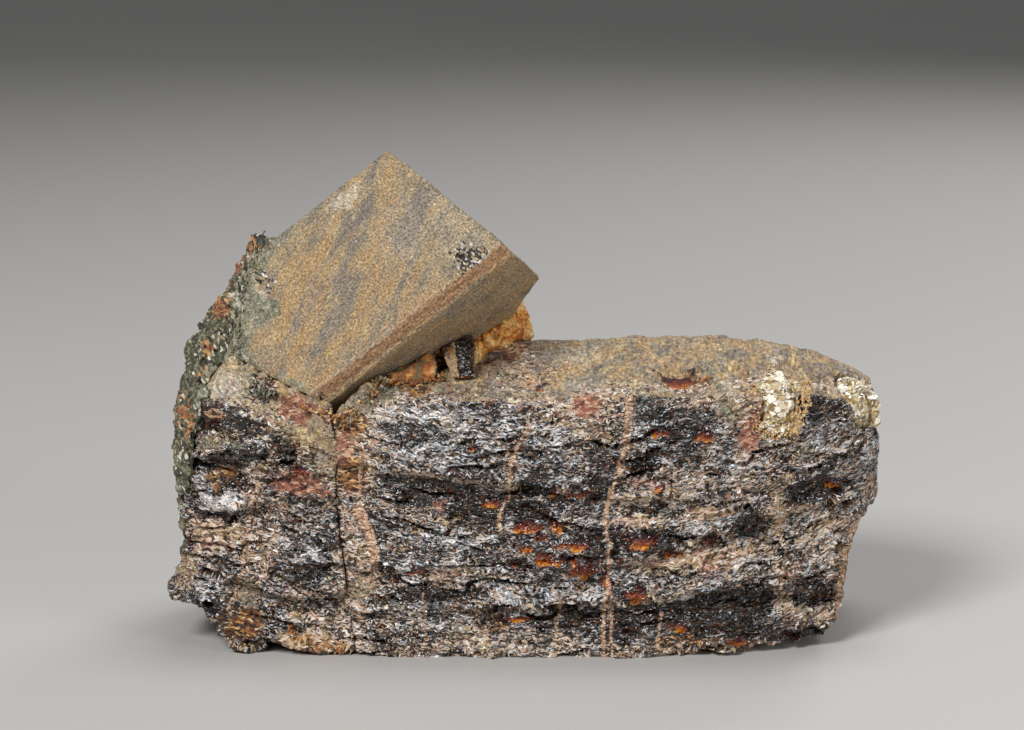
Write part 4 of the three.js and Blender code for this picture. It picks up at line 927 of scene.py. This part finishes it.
def leaning_stone(material):
    """The chisel-ended crystal, with its skin whole. Its spots are given in its own frame, in mm along
    its long edge and up its face."""
    skin = even_copy("leaning_crystal")
    places, facing = corners(skin)
    lie = (places - LEAN_CORNER) @ LEAN_AXES.T
    up_face, outward = facing @ LEAN_AXES[1], facing @ LEAN_AXES[2]
    face = step(outward, 0.7, 0.9)
    side = step(-up_face, 0.6, 0.9)
    bevel = step(-up_face, 0.35, 0.6) * step(outward, 0.25, 0.45) * step(lie[:, 2], -1.3, -0.9)
    bent = lie[:, :2] + 0.8 * np.stack((grain_of(lie, 1.6, 31, 3), grain_of(lie, 1.6, 32, 3)), axis=1)
    long, across = bent.T
    left = step(-long, 5, 13)
    rim = step(np.abs(lie[:, 1] - 1.25), 0.5, 0.1) * face
    in_moss = step(long - on_line(MOSSY_FOOT, across), 1.6, -0.2)
    low = step(lie[:, 1], 2.4, 1.2)
    marks = {
        "lie": lie,
        "ochre": (0.25 + 0.5 * left) * face + 0.8 * side + 1.7 * bevel + 0.7 * low * face,
        "varied": 0.25 + 0.2 * face,
        "grey": (0.6 + 0.2 * left) * face + patches(LEAN_GREY, bent, 0.5) * face + 0.1 * side,
        "pale": patches(LEAN_CHALKY, bent, 0.4) * face + 0.05 * side + 0.25 * rim,
        "bare": patches(LEAN_CHIPS, bent, 0.45) * face + patches(BEVEL_CHIPS, bent, 0.45) * bevel,
        "moss": np.maximum(patches(LEAN_MOSS, bent, 0.5), 0.75 * in_moss) * np.maximum(face, 0.3),
    }
    scratched = lie @ np.array(Matrix.Rotation(SCRATCH_TURN, 3, "Z"))
    move = 0.12 * grain_of(lie, (5, 3, 3), 34) + 0.03 * grain_of(lie, 0.4, 35)
    move += 0.09 * grain_of(lie, (14, 0.45, 0.45), 33) * (1 - face)
    move += 0.05 * grain_of(scratched, (3, 0.5, 0.5), 36)
    move -= 0.3 * marks["bare"] * (0.7 + 0.8 * hackle(lie, 0.7, 37))
    move -= (1 - np.maximum(face, side)) * step(np.abs(hackle(lie, 1.4, 38)), 0.3, 1.2) * 0.28
    marks["grey"] += 0.6 * step(np.linalg.norm(lie[:, :2] - (-7, 16), axis=1), 6, 2) * face
    apex = LEAN_CORNER + np.array((-7.2, 18.6, 0)) @ LEAN_AXES
    blunt = 0.35 * step(np.linalg.norm(places - apex, axis=1), 2.6, 0.2)
    places = places - blunt[:, None] * LEAN_AXES[1] + facing * move[:, None]
    finish_piece("leaning_stone", skin, places, marks, material, ["leaning_crystal"])


def green_rind(material):
    """Flaky green rock that fills the left end, and wells up along its edge against the crystals."""
    edge = [(*(LEAN_CORNER + np.array(at) @ LEAN_AXES), radius) for *at, radius in RIND_LUMPS]
    skin = even_copy("chlorite_rock", edge + RIND_SEAM)
    refine(skin, 1, lambda f: f.normal.dot(SIGHT) < 0 or f.normal.x < -0.5)
    places, facing = corners(skin)
    flat = face_on(places)
    marks = {
        "lie": places,
        "rust": patches(RUSTY, flat) - step(facing[:, 1], -0.2, 0.4) * 1.2,
        "pale": patches(RIND_PALE, flat),
    }
    flakes = places @ np.array(Matrix.Rotation(math.radians(-20), 3, "Y"))
    move = 0.34 * hackle(flakes, (0.4, 0.9, 1.8), 41) + 0.2 * hackle(flakes, (0.28, 0.45, 0.7), 42)
    move += 0.4 * grain_of(places, 2.5, 43) + 0.12
    places = places + facing * np.clip(move, -0.8, 0.55)[:, None]
    finish_piece("green_rind", skin, places, marks, material, ["chlorite_rock"])


def feldspar_piece(name, node, jag, mixed, material, lumps=()):
    """Crumbly feldspar, jagged by so many mm; mixed is how much other stained rock is in it."""
    skin = even_copy(node, lumps)
    places, facing = corners(skin)
    move = jag * hackle(places, (1.1, 1.1, 0.8), 51) + 0.6 * jag * hackle(places, 0.45, 52) + 0.2
    tone = np.clip(0.5 + 0.6 * grain_of(places, 1.4, 53, 3), 0, 1)
    places = places + facing * move[:, None]
    marks = {"lie": places, "tone": tone, "mixed": np.full(len(places), mixed)}
    finish_piece(name, skin, places, marks, material, [node])


def crumbs(name, heaps, seed, material, plain, steep=False):
    """Broken bits packed along lines of points, to fill the corners where one stone meets the next.
    A heap gives how many bits, their spread, smallest and largest size, low and high tone, how thick
    they are, and the line. Steep bits are flakes that stand on edge like the rind's own."""
    chance = random.Random(seed)
    heap = bmesh.new()
    tone = heap.verts.layers.float.new("tone")
    for count, spread, small, large, low, high, thick, route in heaps:
        route = [Vector(p) for p in route]
        for _ in range(count):
            start = chance.randrange(len(route) - 1)
            at = route[start].lerp(route[start + 1], chance.random())
            at += Vector([chance.gauss(0, 0.5) * spread for _ in range(3)])
            bit = bmesh.ops.create_cube(heap, size=chance.uniform(small, large))["verts"]
            shade = chance.uniform(low, high)
            for vert in bit:
                vert.co *= chance.uniform(0.75, 1.3)
                vert[tone] = shade
            if steep:
                for vert in bit:
                    if vert.co.z < 0:
                        vert.co.xy *= 0.35
                turn = Matrix.Rotation(math.radians(chance.gauss(20, 14)), 4, "Y")
                turn = turn @ Matrix.Rotation(math.radians(chance.gauss(0, 35)), 4, "Z")
                shape = Matrix.Diagonal((thick, chance.uniform(0.7, 1.2), chance.uniform(1.1, 1.9), 1))
            else:
                turn = Matrix.Rotation(chance.uniform(0, 6), 4, "X")
                turn = turn @ Matrix.Rotation(chance.uniform(0, 6), 4, "Z")
                shape = Matrix.Diagonal((1, chance.uniform(0.6, 1), thick, 1))
            bmesh.ops.transform(heap, matrix=Matrix.Translation(at) @ turn @ shape, verts=bit)
    places, _ = corners(heap)
    marks = {"lie": places, "tone": np.array([vert[tone] for vert in heap.verts])}
    marks.update({mark: np.full(len(places), value) for mark, value in plain.items()})
    heap.verts.layers.float.remove(tone)
    finish_piece(name, heap, places, marks, material, [])


def wedge_stone(material):
    """The small black wedge, with a tan old side on its left and a thin tan rim on its right."""
    skin = even_copy("wedge_crystal")
    places, facing = corners(skin)
    flat = face_on(places)
    left = on_line(WEDGE_LEFT, flat[:, 1])
    wide = on_line(WEDGE_SIDE, flat[:, 1])
    rim = np.maximum(step(flat[:, 0], left + wide + 0.2, left + wide - 0.1), step(flat[:, 0], -3.95, -3.75))
    plain = {"glow": 0.0, "lip": 0.0, "moss": 0.0, "pale": 0.0, "varied": 1.0, "ochre": 1.2, "grey": 0.2,
             "amber": -1.0, "vein": -1.0, "rose": -1.0}
    # Few painted glints on the wedge: its dull mark is high.
    marks = {
        "lie": places, "dull": 0.72 + 0.1 * grain_of(places, 0.9, 61), "dust": 0.06 + 0.4 * rim,
        "skin": 0.9 * rim, "rust": patches(WEDGE_RUST, flat),
        **{mark: np.full(len(places), value) for mark, value in plain.items()},
    }
    places = break_up(places, facing, places, marks, 0.45, 0.1)
    finish_piece("wedge_stone", skin, places, marks, material, ["wedge_crystal"])


def mica_nest(name, node, count, sunk, seed, material):
    """Books of thin six-sided mica plates strewn over the CAD solid, sunk into it by so many mm, on a
    rough core of the same mineral."""
    chance = random.Random(seed)
    body = bmesh.new()
    body.from_mesh(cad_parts[node].data)
    bmesh.ops.remove_doubles(body, verts=body.verts, dist=1e-6)
    bmesh.ops.transform(body, matrix=TO_DRAWING, verts=body.verts)
    body.normal_update()
    faces = [f for f in body.faces if f.calc_area() > 0]
    areas = [f.calc_area() for f in faces]
    nest = bmesh.new()
    tone = nest.verts.layers.float.new("plate")
    for face in chance.choices(faces, areas, k=count):
        a, b, c = (v.co for v in face.verts[:3])
        r, s = chance.random(), chance.random()
        if r + s > 1:
            r, s = 1 - r, 1 - s
        spot = a + (b - a) * r + (c - a) * s - face.normal * chance.uniform(sunk - 0.2, sunk + 0.2)
        lean = noise.noise_vector(spot * 0.9 + Vector((seed, 0, 0))) * 1.5 + face.normal * 1.1
        lean += Vector((chance.gauss(0, 0.2), chance.gauss(0, 0.2), chance.gauss(0, 0.2)))
        size = chance.uniform(*PLATE_RADIUS)
        ring = bmesh.ops.create_circle(nest, cap_ends=True, segments=6, radius=size)["verts"]
        thick = chance.uniform(*PLATE_THICKNESS)
        raised = bmesh.ops.extrude_face_region(nest, geom=[ring[0].link_faces[0]])["geom"]
        lifted = [v for v in raised if isinstance(v, bmesh.types.BMVert)]
        bmesh.ops.translate(nest, verts=lifted, vec=(0, 0, thick))
        plate = list(ring) + lifted
        turn = lean.to_track_quat("Z", "Y").to_matrix().to_4x4()
        turn = turn @ Matrix.Rotation(chance.uniform(0, 3), 4, "Z")
        stretch = Matrix.Diagonal((1, chance.uniform(0.55, 1), 1, 1))
        bmesh.ops.transform(nest, matrix=Matrix.Translation(spot) @ turn @ stretch, verts=plate)
        shade = chance.betavariate(1.8, 1.1)
        for vert in plate:
            vert[tone] = shade
    body.free()
    bmesh.ops.recalc_face_normals(nest, faces=nest.faces)
    core = even_copy(node)
    places, facing = corners(core)
    for vert, place, out in zip(core.verts, places, facing):
        vert.co = Vector(place) - (sunk + 0.2 * noise.noise(Vector(place) * 1.5)) * Vector(out)
    layer = core.verts.layers.float.new("plate")
    for vert in core.verts:
        vert[layer] = 0.1 + 0.5 * chance.random()
    kept = bpy.data.meshes.new("core")
    core.to_mesh(kept)
    core.free()
    nest.from_mesh(kept)
    places, _ = corners(nest)
    layer = nest.verts.layers.float["plate"]
    marks = {"lie": places, "plate": np.array([vert[layer] for vert in nest.verts])}
    nest.verts.layers.float.remove(layer)
    finish_piece(name, nest, places, marks, material, [node])


def floor_and_lights():
    """A pale bench that curves up behind, and soft studio light from the upper left."""
    sweep = bmesh.new()
    bmesh.ops.create_grid(sweep, x_segments=1, y_segments=1, size=1.5)
    far = max(sweep.edges, key=lambda e: sum(v.co.y for v in e.verts))
    wall = bmesh.ops.extrude_edge_only(sweep, edges=[far])["geom"]
    bmesh.ops.translate(sweep, verts=[v for v in wall if isinstance(v, bmesh.types.BMVert)], vec=(0, 0, 2))
    bmesh.ops.bevel(sweep, geom=[far], offset=0.8, segments=16, profile=0.5, affect="EDGES", material=-1)
    mesh = bpy.data.meshes.new("bench")
    sweep.to_mesh(mesh)
    sweep.free()
    mesh.shade_smooth()
    bench = bpy.data.objects.new("bench", mesh)
    bpy.context.collection.objects.link(bench)
    paint, tree = new_finish("bench_paint")
    shade = add(tree, "BsdfPrincipled", Base_Color=hexed(0xBDBBB8), Roughness=0.6)
    add(tree, "OutputMaterial", None, Surface=shade)
    mesh.materials.append(paint)

    world = bpy.data.worlds.new("studio")
    world.use_nodes = True
    sky = world.node_tree.nodes["Background"].inputs
    sky["Color"].default_value = hexed(0xB9BCC2)
    sky["Strength"].default_value = 0.12
    bpy.context.scene.world = world
    aim = FROM_DRAWING @ Vector((0, 5, 20))
    for name, place, size, watts in LAMPS:
        lamp = bpy.data.lights.new(name, "AREA")
        lamp.size = size
        lamp.energy = watts
        holder = bpy.data.objects.new(name, lamp)
        holder.location = aim + Vector(place)
        holder.rotation_euler = (-Vector(place)).to_track_quat("-Z", "Y").to_euler()
        bpy.context.collection.objects.link(holder)


def camera():
    """A long lens at the viewer's angle."""
    lens = bpy.data.cameras.new("camera")
    lens.lens = 120
    lens.sensor_width = 36
    lens.clip_start = 0.01
    holder = bpy.data.objects.new("camera", lens)
    holder.location = FROM_DRAWING @ EYE
    holder.rotation_euler = (math.radians(90) - TILT, 0, 0)
    bpy.context.collection.objects.link(holder)
    bpy.context.scene.camera = holder


camera()
floor_and_lights()
bpy.context.scene.view_settings.view_transform = "Standard"
fresh = broken_aeschynite()
skinned = weathered_skin()
feldspar = stained_feldspar()
mica = muscovite()
main_stone(fresh)
left_stone(fresh)
wedge_stone(fresh)
leaning_stone(skinned)
rind = chlorite_rind()
green_rind(rind)
feldspar_piece("feldspar_angle", "feldspar_seat", 0.2, 0.0, feldspar, SEAT_LUMPS)
feldspar_piece("feldspar_chips", "angle_rock", 0.34, 0.85, feldspar)
mica_nest("mica_front_nest", "mica_front", 1200, 0.15, 7, mica)
mica_nest("mica_end_nest", "mica_end", 1400, 0.4, 8, mica)
crumbs("green_crumbs", GREEN_HEAPS, 71, rind, {"rust": -0.5, "pale": 0.3}, steep=True)
crumbs("feldspar_crumbs", TAN_HEAPS, 72, feldspar, {"mixed": 0.85})
crumbs("feldspar_teeth", TEETH_HEAPS, 73, feldspar, {"mixed": 0.8}, steep=True)
